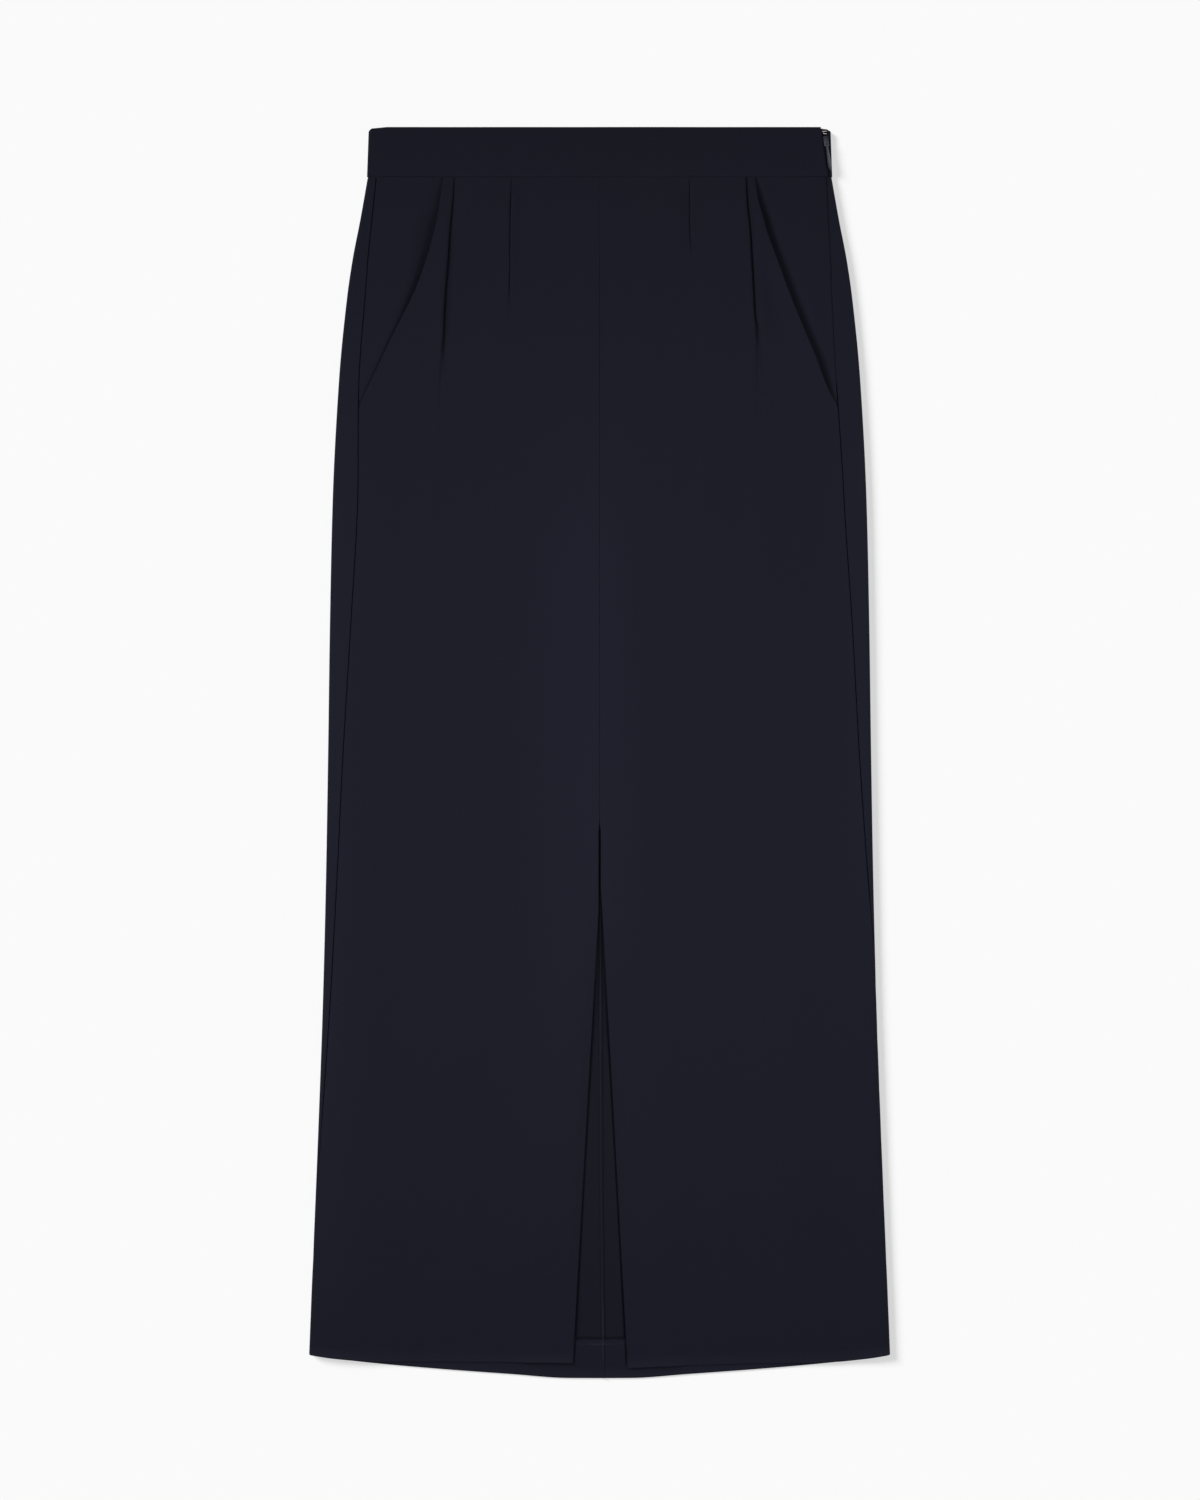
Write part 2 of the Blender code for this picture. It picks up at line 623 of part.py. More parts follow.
def main():
    for leftover in list(bpy.data.objects):
        bpy.data.objects.remove(leftover)
    navy = add_material("navy_cloth", (0.011, 0.012, 0.020), 0.85)
    tape = add_material("zip_tape", (0.010, 0.011, 0.018), 0.7)
    turn = HEM_SIDE - HEM_DEPTH
    hem_rows = (turn, turn + TURN_STEP, HEM_SIDE)
    first = BAND_DEPTH + SEAM
    hip_rows = (*(row for row in ROWS if row < POCKET_END), POCKET_END)
    for side, word in ((-1, "left"), (1, "right")):
        add_cloth("front_" + word, (first, *ROWS, *hem_rows), front_section, side, word, navy)
        add_cloth("back_" + word, (first, *ROWS, *hem_rows), back_section, side, "back", navy)
        add_cloth("hip_" + word, (first, *hip_rows), hip_section, side, None, navy)
    add_band(navy)
    add_cloth("zip_tape", ZIP_ROWS, tape_section, 1, None, tape)
    enamel = add_material("navy_enamel", (0.020, 0.024, 0.040), 0.35, 0.3)
    add_slider(enamel)
    add_pull(enamel)
    metal = add_material("hook_metal", (0.45, 0.34, 0.27), 0.35, 1.0)
    thread = add_material("loop_thread", (0.10, 0.11, 0.14), 0.8)
    add_hook_and_eye(metal, thread)


main()
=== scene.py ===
import math
from collections import namedtuple

import bpy
import numpy as np
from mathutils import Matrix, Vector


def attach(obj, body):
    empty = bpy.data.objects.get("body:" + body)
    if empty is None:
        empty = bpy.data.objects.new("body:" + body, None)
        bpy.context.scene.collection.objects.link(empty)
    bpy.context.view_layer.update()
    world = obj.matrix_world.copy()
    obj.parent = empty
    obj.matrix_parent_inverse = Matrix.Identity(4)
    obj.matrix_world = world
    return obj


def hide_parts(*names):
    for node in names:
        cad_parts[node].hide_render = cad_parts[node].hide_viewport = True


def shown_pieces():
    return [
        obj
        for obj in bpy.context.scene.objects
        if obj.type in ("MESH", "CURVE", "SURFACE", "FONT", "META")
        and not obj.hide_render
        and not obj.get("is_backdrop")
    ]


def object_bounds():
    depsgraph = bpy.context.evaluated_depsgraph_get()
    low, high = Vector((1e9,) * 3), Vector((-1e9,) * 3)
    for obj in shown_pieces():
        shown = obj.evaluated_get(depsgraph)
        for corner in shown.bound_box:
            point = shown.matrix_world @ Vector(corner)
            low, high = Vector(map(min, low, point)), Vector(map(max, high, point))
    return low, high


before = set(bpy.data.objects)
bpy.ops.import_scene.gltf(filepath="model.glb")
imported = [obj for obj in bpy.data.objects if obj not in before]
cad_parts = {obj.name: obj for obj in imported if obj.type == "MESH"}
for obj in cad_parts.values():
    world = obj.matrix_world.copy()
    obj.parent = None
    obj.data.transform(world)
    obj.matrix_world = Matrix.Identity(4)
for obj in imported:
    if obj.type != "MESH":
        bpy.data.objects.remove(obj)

cad_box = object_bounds()
scene = bpy.context.scene

# ------------------------------------------------------------------------------
# Studio: a pale table that glows a little, as white acrylic lit from below does, with the skirt laid on it
# front up. A low soft lamp to the upper left casts the skirt's shadow; a net in front of it dims it over the
# skirt. A weaker one fills from the lower right. A wide softbox close over the skirt, flagged off the table,
# lights it from all sides. The camera looks straight down.


def added(name, operator, **settings):
    """The object that an operator adds, named and selected alone."""
    bpy.ops.object.select_all(action="DESELECT")
    operator(**settings)
    made = bpy.context.object
    made.name = name
    return made


table = added("table_top", bpy.ops.mesh.primitive_plane_add, size=60.0, location=(0.0, 0.0, -0.0005))
table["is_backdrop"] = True
acrylic = bpy.data.materials.new("pale_acrylic")
acrylic.use_nodes = True
for socket, value in (("Base Color", (0.83, 0.83, 0.83, 1.0)), ("Roughness", 0.95),
                      ("Specular IOR Level", 0.0), ("Emission Strength", 0.624)):
    acrylic.node_tree.nodes["Principled BSDF"].inputs[socket].default_value = value
table.data.materials.append(acrylic)

world = scene.world or bpy.data.worlds.new("room")
scene.world = world
world.use_nodes = True
room = world.node_tree.nodes["Background"].inputs
room["Color"].default_value = (1.0, 1.0, 1.0, 1.0)
room["Strength"].default_value = 0.05

table_light = bpy.data.collections.new("table_light")
table_light.objects.link(table)
skirt_light = bpy.data.collections.new("skirt_light")
for name, energy, tilt, turn, receivers in (("soft_lamp", 2.21, -30, -55, table_light),
                                            ("soft_lamp_dimmed", 1.0, -30, -55, skirt_light),
                                            ("fill_lamp", 0.55, 30, 52, skirt_light)):
    rotation = (math.radians(tilt), math.radians(turn), 0.0)
    lamp = added(name, bpy.ops.object.light_add, type="SUN", rotation=rotation)
    lamp.data.energy = energy
    lamp.data.angle = math.radians(22)
    lamp.light_linking.receiver_collection = receivers

softbox = added("softbox", bpy.ops.object.light_add, type="AREA", location=(-0.035, -0.02, 0.48))
softbox.visible_camera = False
softbox.data.shape = "RECTANGLE"
softbox.data.size = 1.5
softbox.data.size_y = 1.16
softbox.data.energy = 7.9
softbox.light_linking.receiver_collection = skirt_light

camera = added("camera", bpy.ops.object.camera_add, location=(0.0003, 0.0024, 2.8333))
camera.data.lens = 85.0
scene.camera = camera
scene.view_settings.view_transform = "Standard"

# ------------------------------------------------------------------------------
# Back panels: two panels of a matte navy crepe, joined by a centre seam. They lie flat under the skirt and
# come round both sides to the front, where each ends in a side seam. The centre allowance and the top of the
# turned-up hem are overlocked.
#
# The cloth is worked out in millimetres, in sections across the skirt. "down" is the distance from the top of
# the waistband along the skirt, x the distance from the middle, and side -1 for -X or +1 for +X. A point's
# run is its distance along the section from the outermost point of the side: positive on top, negative under.

MM = 0.001
SIDES = ((-1, "left"), (1, "right"))
WAIST_Y = cad_box[1][1] / MM  # the top of the waistband
CLOTH = 1.0  # one layer
DOUBLE = 2.2  # a turned-in allowance, two layers
TURN_STEP = 0.7  # width over which a turned-in allowance ends
SEAM = 0.06  # how near a sewn edge comes to its seam's line
SIDE_GROOVE = 0.3  # and at the side seams, where these show as a groove
CLOSED = 0.08  # and how far it passes it where no light comes through
WAIST_RIM = 0.2  # width over which the edges are rounded at the waist seam
SIDE_RIM = 1.0  # and at the side seams
ROW_STEP = 4.0  # distance between sections
NEXT = 0.5  # the even steps go on this far inside an edge's rounding
BESIDE = 2.0  # columns are close together for this far beside a step in the cloth
BAND_DEPTH = 40.0
MOUTH_END = 224.0  # the lower end of a pocket's mouth
POCKET_END = 236.0  # and of its hip piece
HEM_SIDE = 981.0  # the hem at the sides
HEM_DEPTH = 30.0
HEM_TOP = HEM_SIDE - HEM_DEPTH  # its raw edge
PRESSED = 4.5  # width of the pressed edge of the turned-up cloth
PRESSED_SHARE = 0.85  # share of its thickness that is pressed away there
HEM_BEND_FROM = 700.0  # below this the sections follow the hems' curves
ALLOWANCE = 2.0  # width of the centre seam's allowance
SLIT_TOP = 560.0
SLIT_TURN = 28.0  # width turned in along the slit


def ease(share):
    """1 at 0 and below, 0 at 1 and above, with level ends."""
    share = np.clip(share, 0.0, 1.0)
    return 1 - share * share * (3 - 2 * share)


def falling(value, start, end):
    """1 up to start and 0 from end on."""
    return ease((value - start) / (end - start))


def rising(value, start, end):
    """0 up to start and 1 from end on."""
    return 1 - falling(value, start, end)


def curve(*points):
    """A smooth function through (place, value) points, which never goes past its values."""
    places, values = np.array(points, float).T
    steps = np.diff(places)
    slopes = np.diff(values) / steps
    same_way = slopes[:-1] * slopes[1:] > 0
    total = np.where(same_way, slopes[:-1] + slopes[1:], 1.0)
    bends = np.where(same_way, 2 * slopes[:-1] * slopes[1:] / total, 0.0)
    bends = np.concatenate([slopes[:1], bends, slopes[-1:]])

    def at(place):
        place = np.clip(place, places[0], places[-1])
        k = np.clip(np.searchsorted(places, place, side="right") - 1, 0, len(steps) - 1)
        t = (place - places[k]) / steps[k]
        swing = steps[k] * t * (1 - t) * ((1 - t) * bends[k] - t * bends[k + 1])
        return values[k] + (values[k + 1] - values[k]) * (1 - ease(t)) + swing

    return at


half_width = curve((40, 185.3), (74, 191.3), (106, 197.5), (138, 202.1), (202, 208.3), (300, 213.4),
                   (400, 215.6), (500, 217), (600, 218.7), (700, 221.2), (800, 224.8), (900, 228.9),
                   (950, 231), (981, 232.2))
fold_height = curve((40, 5.8), (74, 6), (900, 6), (950, 6.2), (981, 6.2))
side_seam = {
    -1: curve((40, 8.7), (74, 11.2), (106, 14.2), (138, 16.4), (202, 17.9), (300, 21.9), (400, 18.5),
              (500, 13.9), (600, 10.7), (700, 7.7), (800, 4.2), (900, 0.4), (950, -1.6), (981, -1.6)),
    1: curve((40, 5.7), (74, 10.2), (106, 14.7), (138, 18.2), (202, 21), (300, 19.7), (400, 15.4),
             (500, 11.3), (600, 6), (700, -0.5), (800, -4.5), (900, -7.5), (950, -9.2), (981, -9.2)),
}
pocket_mouth = {
    -1: curve((40, 125), (74, 130), (122, 144), (170, 167), (224, 193)),
    1: curve((40, 124.2), (48, 124.9), (60, 126.9), (72, 130.3), (84, 133.5), (108, 142.3), (132, 151.1),
             (156, 160.7), (180, 171), (204, 180.1), (214, 184.8), (224, 191.5)),
}
mouth_cover = curve((40, 0.8), (74, 4), (122, 14), (170, 30), (224, 30))
mouth_rise = curve((40, 1.6), (74, 3.8), (122, 4.5), (170, 4.3), (224, 2.4))
hem_line = {
    "back": curve((0, 1000), (25, 999.9), (70, 996.8), (130, 992.4), (185, 987.5), (212, 984.3),
                  (232, 980.8)),
    "left": curve((0, 987.8), (25, 987.5), (70, 987), (130, 986.4), (185, 986.1), (212, 983.9),
                  (232, 980.8)),
    "right": curve((0, 991.6), (25, 991.2), (70, 989.4), (130, 987.6), (185, 986.9), (212, 984.2),
                   (232, 980.8)),
}

CREASE_FROM = 6.0  # creases start this far inside the outermost point
CREASE_FADE = 40.0  # and have their whole height this much farther in
# Soft ridges: middle (halfway down one), top, bottom, lean (over its length), width (the distance at which
# it has fallen to a third), rise.
FRONT_CREASES = [
    (10, 240, 840, 4, 36, 4.2),
    (-196, 240, 900, -12, 20, 3.0),
    (90, 205, 440, -8, 17, 1.6),
    (-83, 450, 630, 4, 14, 1.3),
    (-150, 400, 560, -5, 12, 0.9),
    (-134, 195, 350, -6, 11, 1.8),
    (128, 270, 430, -4, 13, 1.1),
    (124, 590, 720, 5, 13, 1.1),
    (-190, 600, 800, -8, 18, 1.3),
    (146, 640, 975, 16, 48, 2.2),
    (72, 780, 975, 6, 24, 0.9),
    (-70, 760, 978, -9, 30, 1.3),
    (-128, 700, 940, -12, 22, 0.9),
    (-42, 205, 400, 3, 15, 0.7),
    (52, 520, 700, -5, 16, 0.7),
]
BACK_CREASES = [
    (-150, 90, 420, -14, 26, 0.8),
    (-76, 120, 520, -6, 34, 0.6),
    (58, 100, 380, 8, 28, 0.7),
    (132, 130, 560, 12, 30, 0.9),
    (-108, 480, 900, -16, 36, 0.9),
    (70, 520, 960, 10, 30, 0.6),
    (160, 600, 975, 14, 26, 0.7),
    (-170, 720, 978, -10, 24, 0.6),
]


def crease_height(creases, x, down, side):
    """How far a layer is lifted by its creases, which die out towards the side."""
    total = 0.0
    for middle, top, bottom, lean, width, rise in creases:
        along = (down - top) / (bottom - top)
        off = side * x - middle - lean * (along - 0.5)
        total = total + rise * ease(np.abs(2 * along - 1)) * np.exp(-((off / width) ** 2))
    return total * rising(half_width(down) - x, CREASE_FROM, CREASE_FROM + CREASE_FADE)


# where the centre back seam lies, a little to one side of the middle
back_seam = curve((40, 1.4), (700, 2), (820, 2.5), (900, 3.4), (950, 4.1), (981, 4.2))

SEAM_LOOSE = (80.0, 120.0)  # the centre front seam is shut tight above this
SLIT_NEAR = 0.9  # half the gap where the slit's edges nearly touch
SLIT_STARTS = (552.0, 566.0)
SLIT_PARTS = {-1: 611.0, 1: 592.0}  # from here down they draw apart
SLIT_FLARE = 0.058  # by this for each millimetre down


def slit_half(down, side):
    """Half the gap between the front panels: sewn close, then the slit, whose edges nearly touch at first."""
    closed = np.maximum(SEAM * rising(down, *SEAM_LOOSE), SLIT_NEAR * rising(down, *SLIT_STARTS))
    return np.maximum(closed, SLIT_FLARE * (down - SLIT_PARTS[side]))


def hem_drop(piece, x, down):
    """How far a section is drawn down by its piece's hem, x from the middle."""
    return rising(down, HEM_BEND_FROM, HEM_SIDE) * (hem_line[piece](np.abs(x)) - HEM_SIDE)


GROOVE_RUN = 6.0  # a side seam shows as a groove from this run on


def side_gap(down, side):
    """How near an edge comes to its side seam's line. Under the skirt it passes it a little."""
    return SIDE_GROOVE - (SIDE_GROOVE + CLOSED) * ease(side_seam[side](down) / GROOVE_RUN)


def opening(down, side):
    """Half the slit's opening over the back's sections."""
    beside = 20.0
    front = "left" if side < 0 else "right"
    return slit_half(down + hem_drop("back", beside, down) - hem_drop(front, beside, down), side)


SLIT_SWELL = 1.3  # how far the back's face stands up in the slit's opening
SWELL_FALL = 1.5  # width beside the front's edges over which it comes down again
SWELL_STARTS = (635.0, 765.0)
SWELL_ENDS = (958.0, 976.0)
SWELL_NOTCH = HEM_TOP - 0.8  # where it is sewn down along the hem's raw edge
NOTCH_REACH = (0.4, 1.6)


def swell(x, down, side):
    """How far the back's face stands up in the slit's opening."""
    inside = np.clip((opening(down, side) - x) / SWELL_FALL, 0.0, 1.0)
    along = rising(down, *SWELL_STARTS) * falling(down, *SWELL_ENDS)
    return SLIT_SWELL * inside**3 * along * rising(np.abs(down - SWELL_NOTCH), *NOTCH_REACH)


PLEAT_LIFT = 3.0  # how far the pleats' layers lift the front where they are sewn down
PLEAT_SPRING = 0.5  # and how much more where they spring up
SPRING_STARTS = (46.0, 70.0)
PLEATS_END = (165.0, 285.0)


def waist_rise(down):
    """How far the pleats' layers lift the front."""
    return (PLEAT_LIFT + PLEAT_SPRING * rising(down, *SPRING_STARTS)) * falling(down, *PLEATS_END)


LOW = 2.4  # height of the front's face where it lies on the back alone
SHARPNESS = 4  # how little the lifts of hidden layers add up
SIDE_SPAN = {-1: 80.0, 1: 36.0}  # width over which the front rises to the side
HEM_LIFT = 2.2  # the lift of the hems' turned-up cloth
HEM_REACH = (-62.0, -2.0)  # which rises over this down to the raw edge
HEM_PRESS = 1.2  # and is pressed down by this along the fold
CENTRE_LIFT = 1.3  # the lift of the centre seams' allowances
CENTRE_REACH = (20.0, 55.0)
SLIT_LIFT = 2.6  # the lift of the cloth turned in along the slit
SLIT_SIDE = (1.0, 31.0)  # which falls over this beyond it
SLIT_REACH = (-52.0, -2.0)  # and rises over this down to the slit's top
SLIT_ROLL = 1.2  # how far the slit's edges roll down
ROLL_WIDTH = 8.0
ROLL_STARTS = (590.0, 630.0)
ROLL_ENDS = (860.0, 960.0)
POCKET_REACH = (-26.0, -1.0)  # the hip piece's lift rises over this up to its inner edge
POCKET_FADE = 50.0  # and falls over this below it


def top_height(x, down, side):
    """Height of the front's face, which rests on the layers under it and rises to the side folds."""
    waist = waist_rise(down)
    hem = HEM_LIFT * rising(down - HEM_TOP, *HEM_REACH)
    hem = hem - HEM_PRESS * ease((HEM_SIDE - down) / PRESSED)
    centre = CENTRE_LIFT * falling(x, *CENTRE_REACH)
    out = x - slit_half(down, side)
    slit = SLIT_LIFT * falling(out - SLIT_TURN, *SLIT_SIDE) * rising(down - SLIT_TOP, *SLIT_REACH)
    roll = SLIT_ROLL * ease(out / ROLL_WIDTH) * rising(down, *ROLL_STARTS) * falling(down, *ROLL_ENDS)
    inner_edge = pocket_mouth[side](down) - mouth_cover(down)
    pocket = mouth_rise(down) * rising(x - inner_edge, *POCKET_REACH)
    pocket = pocket * ease((down - POCKET_END) / POCKET_FADE)
    lifts = (waist, hem, centre, slit, pocket)
    level = LOW + sum(lift**SHARPNESS for lift in lifts) ** (1 / SHARPNESS) - roll
    fold = fold_height(down)
    level = level + (fold - level) * ease((half_width(down) - fold / 2 - x) / SIDE_SPAN[side])
    return level + crease_height(BACK_CREASES, x, down, side) + crease_height(FRONT_CREASES, x, down, side)


def under_height(x, down, side):
    """Height of the underside."""
    return crease_height(BACK_CREASES, x, down, side)


def run_at(x, down):
    """The run of a point on top. Underneath it is the same below 0."""
    radius = fold_height(down) / 2
    inset = half_width(down) - x
    round_the_fold = radius * np.arccos(1 - np.clip(inset / radius, 0.0, 1.0))
    return np.where(inset < radius, round_the_fold, radius * (math.pi / 2 - 1) + inset)


Wall = namedtuple("Wall", "x z turn")
# points half a layer under the cloth's outer face, and the direction that it heads in, in radians


def wall_at(run, down, side, deep=CLOTH / 2):
    """The cloth at a run, on top, round the side fold or underneath, deep under its outer face."""
    radius = fold_height(down) / 2
    quarter = radius * math.pi / 2
    shoulder = half_width(down) - radius
    x = shoulder + quarter - np.abs(run)
    top = top_height(x, down, side)
    lean = np.arctan(top_height(x + 0.5, down, side) - top_height(x - 0.5, down, side))
    under = under_height(x, down, side)
    angle = run / radius
    reach = radius - deep
    places = [run > quarter, run < -quarter]
    return Wall(
        np.select(places, [x + deep * np.sin(lean), x], shoulder + reach * np.cos(angle)),
        np.select(places, [top - deep * np.cos(lean), under + deep], radius + reach * np.sin(angle)),
        np.select(places, [lean, lean * 0 - math.pi], angle - math.pi / 2),
    )


def side_by_side(*walls):
    return Wall(*(np.hstack(parts) for parts in zip(*walls)))


def between(first, last, count):
    """count steps for each row from first towards last, without last."""
    return first + (last - first) * np.arange(count) / count


def through(first, *stretches):
    """Columns from first on, through stretches that are each its number of steps and its end."""
    columns = []
    for count, last in stretches:
        columns.append(between(first, last, count))
        first = last
    return np.hstack(columns)


def rim(width):
    """Distances from an edge where its rounding gets points, and one inside it that keeps the face flat."""
    inside = np.array([0, 0, 0, 0, NEXT / 2])
    return width * (1 - np.cos(np.radians([0, 30, 60, 90, 90]))) + inside


def rows_to(bottom, bottom_rim, turns=()):
    """Distances down for the sections of a panel or hip piece, from the waist seam to its lower edge: close
    together at its edges and at both sides of a turn."""
    top = BAND_DEPTH - CLOSED
    count = round((bottom - top) / ROW_STEP)
    evenly = np.linspace(top + WAIST_RIM + NEXT, bottom - bottom_rim - NEXT, count)
    steps = [turn + step for turn in turns for step in (0.0, TURN_STEP)]
    rows = [top + rim(WAIST_RIM), evenly, steps, bottom - rim(bottom_rim)]
    return np.unique(np.concatenate(rows).round(4))[:, None]


def add_cloth(name, down, wall, thick, side, rims, drop=0.0):
    """A sheet of cloth through the sections of a wall, with its four edges rounded over the widths in rims:
    the first and last along the section, and the top and bottom. drop draws it down. Its map is its own cut,
    in metres."""
    run = np.cumsum(np.hypot(np.diff(wall.x, axis=1), np.diff(wall.z, axis=1)), axis=1)
    run = np.hstack([run[:, :1] * 0, run])
    full = 1.0
    for distance, width in zip((run, run[:, -1:] - run, down - down[0], down[-1] - down), rims):
        full = full * np.sqrt(1 - (1 - np.clip(distance / width, 0.0, 1.0)) ** 2)
    y = WAIST_Y - down - drop + 0 * run
    middle = CLOTH / 2 - thick / 2
    across, up = -np.sin(wall.turn), np.cos(wall.turn)
    faces = []
    for off in (middle + thick / 2 * full, middle - thick / 2 * full):
        faces.append(np.stack([side * (wall.x + across * off), y, wall.z + up * off], axis=-1))
    outer, inner = faces
    rows, columns = run.shape
    points = np.concatenate([outer.reshape(-1, 3), inner[1:-1, 1:-1].reshape(-1, 3)]) * MM
    on_top = np.arange(rows * columns).reshape(rows, columns)
    beneath = on_top.copy()
    beneath[1:-1, 1:-1] = rows * columns + np.arange(inner[1:-1, 1:-1, 0].size).reshape(rows - 2, columns - 2)
    quads = []
    for index in (on_top, beneath):
        corners = index[:-1, :-1], index[1:, :-1], index[1:, 1:], index[:-1, 1:]
        quads.append(np.stack(corners, axis=-1).reshape(-1, 4))
    quads = np.concatenate([quads[0], quads[1][:, ::-1]])
    if side < 0:
        quads = quads[:, ::-1]
    mesh = bpy.data.meshes.new(name)
    mesh.from_pydata(points.tolist(), [], quads.tolist())
    mesh.shade_smooth()
    cut = np.stack([side * run, -down + 0 * run], axis=-1) * MM
    cut = np.concatenate([cut.reshape(-1, 2), cut[1:-1, 1:-1].reshape(-1, 2)])
    mesh.uv_layers.new(name="cut").data.foreach_set("uv", cut[quads.ravel()].ravel())
    piece = bpy.data.objects.new(name, mesh)
    scene.collection.objects.link(piece)
    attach(piece, "skirt")
    return piece


class Socket:
    """A value in a material's nodes, so that shader maths can be written as sums."""

    def __init__(self, tree, socket):
        self.tree = tree
        self.socket = socket

    def node(self, kind, settings, inputs, output=0):
        """The output of a new node, from its type, its settings and the values or links of its inputs."""
        made = self.tree.nodes.new("ShaderNode" + kind)
        for key, value in settings.items():
            setattr(made, key, value)
        for key, value in inputs.items():
            if isinstance(value, Socket):
                self.tree.links.new(value.socket, made.inputs[key])
            else:
                made.inputs[key].default_value = value
        return Socket(self.tree, made.outputs[output])

    def maths(self, operation, *others):
        return self.node("Math", {"operation": operation}, dict(enumerate((self, *others))))

    def axis(self, name):
        return self.node("SeparateXYZ", {}, {"Vector": self}, name)

    def __add__(self, other):
        return self.maths("ADD", other)

    def __sub__(self, other):
        return self.maths("SUBTRACT", other)

    def __rsub__(self, other):
        return self * -1.0 + other

    def __mul__(self, other):
        return self.maths("MULTIPLY", other)

    __radd__ = __add__
    __rmul__ = __mul__


STREAK_FADE = 120.0  # a streak fades out over this far beyond its ends


class Finish:
    """A material, with the constants of its shader set, that patterns are then fed to."""

    def __init__(self, name, constants):
        self.material = bpy.data.materials.new(name)
        self.material.use_nodes = True
        self.tree = self.material.node_tree
        self.shader = self.tree.nodes["Principled BSDF"]
        for socket, value in constants.items():
            self.shader.inputs[socket].default_value = value
        self.place = Socket(self.tree, self.tree.nodes.new("ShaderNodeTexCoord").outputs["Object"])

    def cut(self):
        """The piece's own map, in metres."""
        return self.place.node("UVMap", {"uv_map": "cut"}, {})

    def noise(self, vector, scale, detail=2.0):
        """Soft noise from 0 to 1, with scale spots to the metre."""
        return vector.node("TexNoise", {}, {"Vector": vector, "Scale": scale, "Detail": detail})

    def ramp(self, value, start, end):
        """0 where the value is at start, or short of it, and 1 from end on."""
        inputs = {"Value": value, "From Min": start, "From Max": end}
        return value.node("MapRange", {"interpolation_type": "SMOOTHSTEP"}, inputs)

    def down(self, start, end):
        """0 at a distance down the skirt, in millimetres, and 1 from end on, which may be above it."""
        return self.ramp(self.place.axis("Y"), (WAIST_Y - start) * MM, (WAIST_Y - end) * MM)

    def near_middle(self, start, end):
        """0 at a distance from the middle of the skirt, in millimetres, and 1 nearer than end."""
        x = self.place.axis("X")
        return self.ramp(x * x, (start * MM) ** 2, (end * MM) ** 2)

    def streak(self, middle, width, top, bottom):
        """1 down a soft vertical streak of the skirt and 0 away from it, in millimetres."""
        apart = (self.place.axis("X") - middle * MM) * (1 / (width * MM))
        share = (apart * apart * -1.0).maths("EXPONENT")
        share = share * self.down(bottom + STREAK_FADE, bottom - STREAK_FADE / 2)
        return share * self.down(top - STREAK_FADE, top + STREAK_FADE / 2)

    def blend(self, share, first, second):
        """A colour between two others."""
        inputs = {"Factor": share}
        for key, colour in ((6, first), (7, second)):
            inputs[key] = colour if isinstance(colour, Socket) else (*colour, 1.0)
        return self.place.node("Mix", {"data_type": "RGBA"}, inputs, 2)

    def feed(self, socket, value):
        self.tree.links.new(value.socket, self.shader.inputs[socket])

    def relief(self, height, depth):
        """Relief from a height of 0 to 1, as many millimetres deep."""
        inputs = {"Strength": 1.0, "Distance": depth * MM, "Height": height}
        self.feed("Normal", self.place.node("Bump", {}, inputs))


THREAD_PITCH = 0.42  # distance from one thread of the crepe to the next
CREPE_RELIEF = 0.11
# painted light: the crepe is painted paler along the hems, where the turned-up edge catches the light
HEM_LIGHT_BAND = 10.0  # width of the paler band along a hem
HEM_STRENGTH = 3.3
# streaks of painted light, or of painted shade where the strength is below 0: middle, width, top, bottom,
# strength
PAINTED_LIGHT_STREAKS = [(-10, 42, 300, 790, 1.0), (-222, 22, 240, 920, 1.0), (212, 14, 240, 600, 0.6),
           (0, 24, 690, 800, -1.0)]

# crepe: matte, of fine overtwisted threads whose pebbled face scatters the light
crepe = Finish("navy_crepe", {"Specular IOR Level": 0.10, "Sheen Weight": 0.05, "Sheen Roughness": 0.5,
                              "Sheen Tint": (0.55, 0.58, 0.80, 1.0)})
cut = crepe.cut()
pebble = crepe.noise(cut, 2200.0, 3.0)
waver = crepe.noise(cut, 420.0)
thread = 2 * math.pi / (THREAD_PITCH * MM)
warp = (cut.axis("X") * thread + waver * 5.0).maths("SINE")
weft = (cut.axis("Y") * (thread * 0.86) + waver * 4.0).maths("SINE")
weave = warp * weft
crepe.relief(weave * 0.22 + pebble * 0.56 + 0.22, CREPE_RELIEF)
patches = crepe.noise(crepe.place, 3.2, 3.0)
drawn_out = cut.node("Mapping", {}, {"Vector": cut, "Scale": (1.0, 0.07, 1.0)})
slubs = crepe.noise(drawn_out, 60.0, 3.0)
colour = crepe.blend(patches, (0.0061, 0.0073, 0.0150), (0.0083, 0.0078, 0.0148))
colour = crepe.blend(slubs * 0.35, colour, (0.0054, 0.0060, 0.0122))
colour = crepe.blend(pebble * 0.5, colour, (0.0044, 0.0049, 0.0100))
# painted light along the hems and down the streaks, and painted shade down the streak of negative strength
inputs = {"Value": cut.axis("Y"), "From Min": (HEM_LIGHT_BAND - HEM_SIDE) * MM, "From Max": -HEM_SIDE * MM}
painted_light = cut.node("MapRange", {}, inputs) * HEM_STRENGTH
for *streak, strength in PAINTED_LIGHT_STREAKS:
    painted_light = painted_light + crepe.streak(*streak) * strength
colour = crepe.blend(painted_light * 0.33, colour, (0.0098, 0.0102, 0.0196))
# painted shade in the slit, with a little of the wrong side's own darker tone: the back's inner face, near
# the middle and above the hem, is darkened, more where the slit is narrow
up = crepe.place.axis("Z") * (1 / MM)
inside = crepe.ramp(up, 0.3, 0.7) * crepe.ramp(up, 3.0, 2.4) * crepe.near_middle(32, 28)
inside = inside * crepe.down(970, 969) * (crepe.down(880, 700) * 0.22 + 0.34)
colour = crepe.blend(inside, colour, (0.0030, 0.0034, 0.0068))
crepe.feed("Base Color", colour)
crepe.feed("Roughness", 0.78 + pebble * 0.16)


def lay_sheet(piece, node, finish=crepe):
    """Gives a sheet its material and hides the part of model.glb that it stands for."""
    piece.data.materials.append(finish.material)
    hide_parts(node)


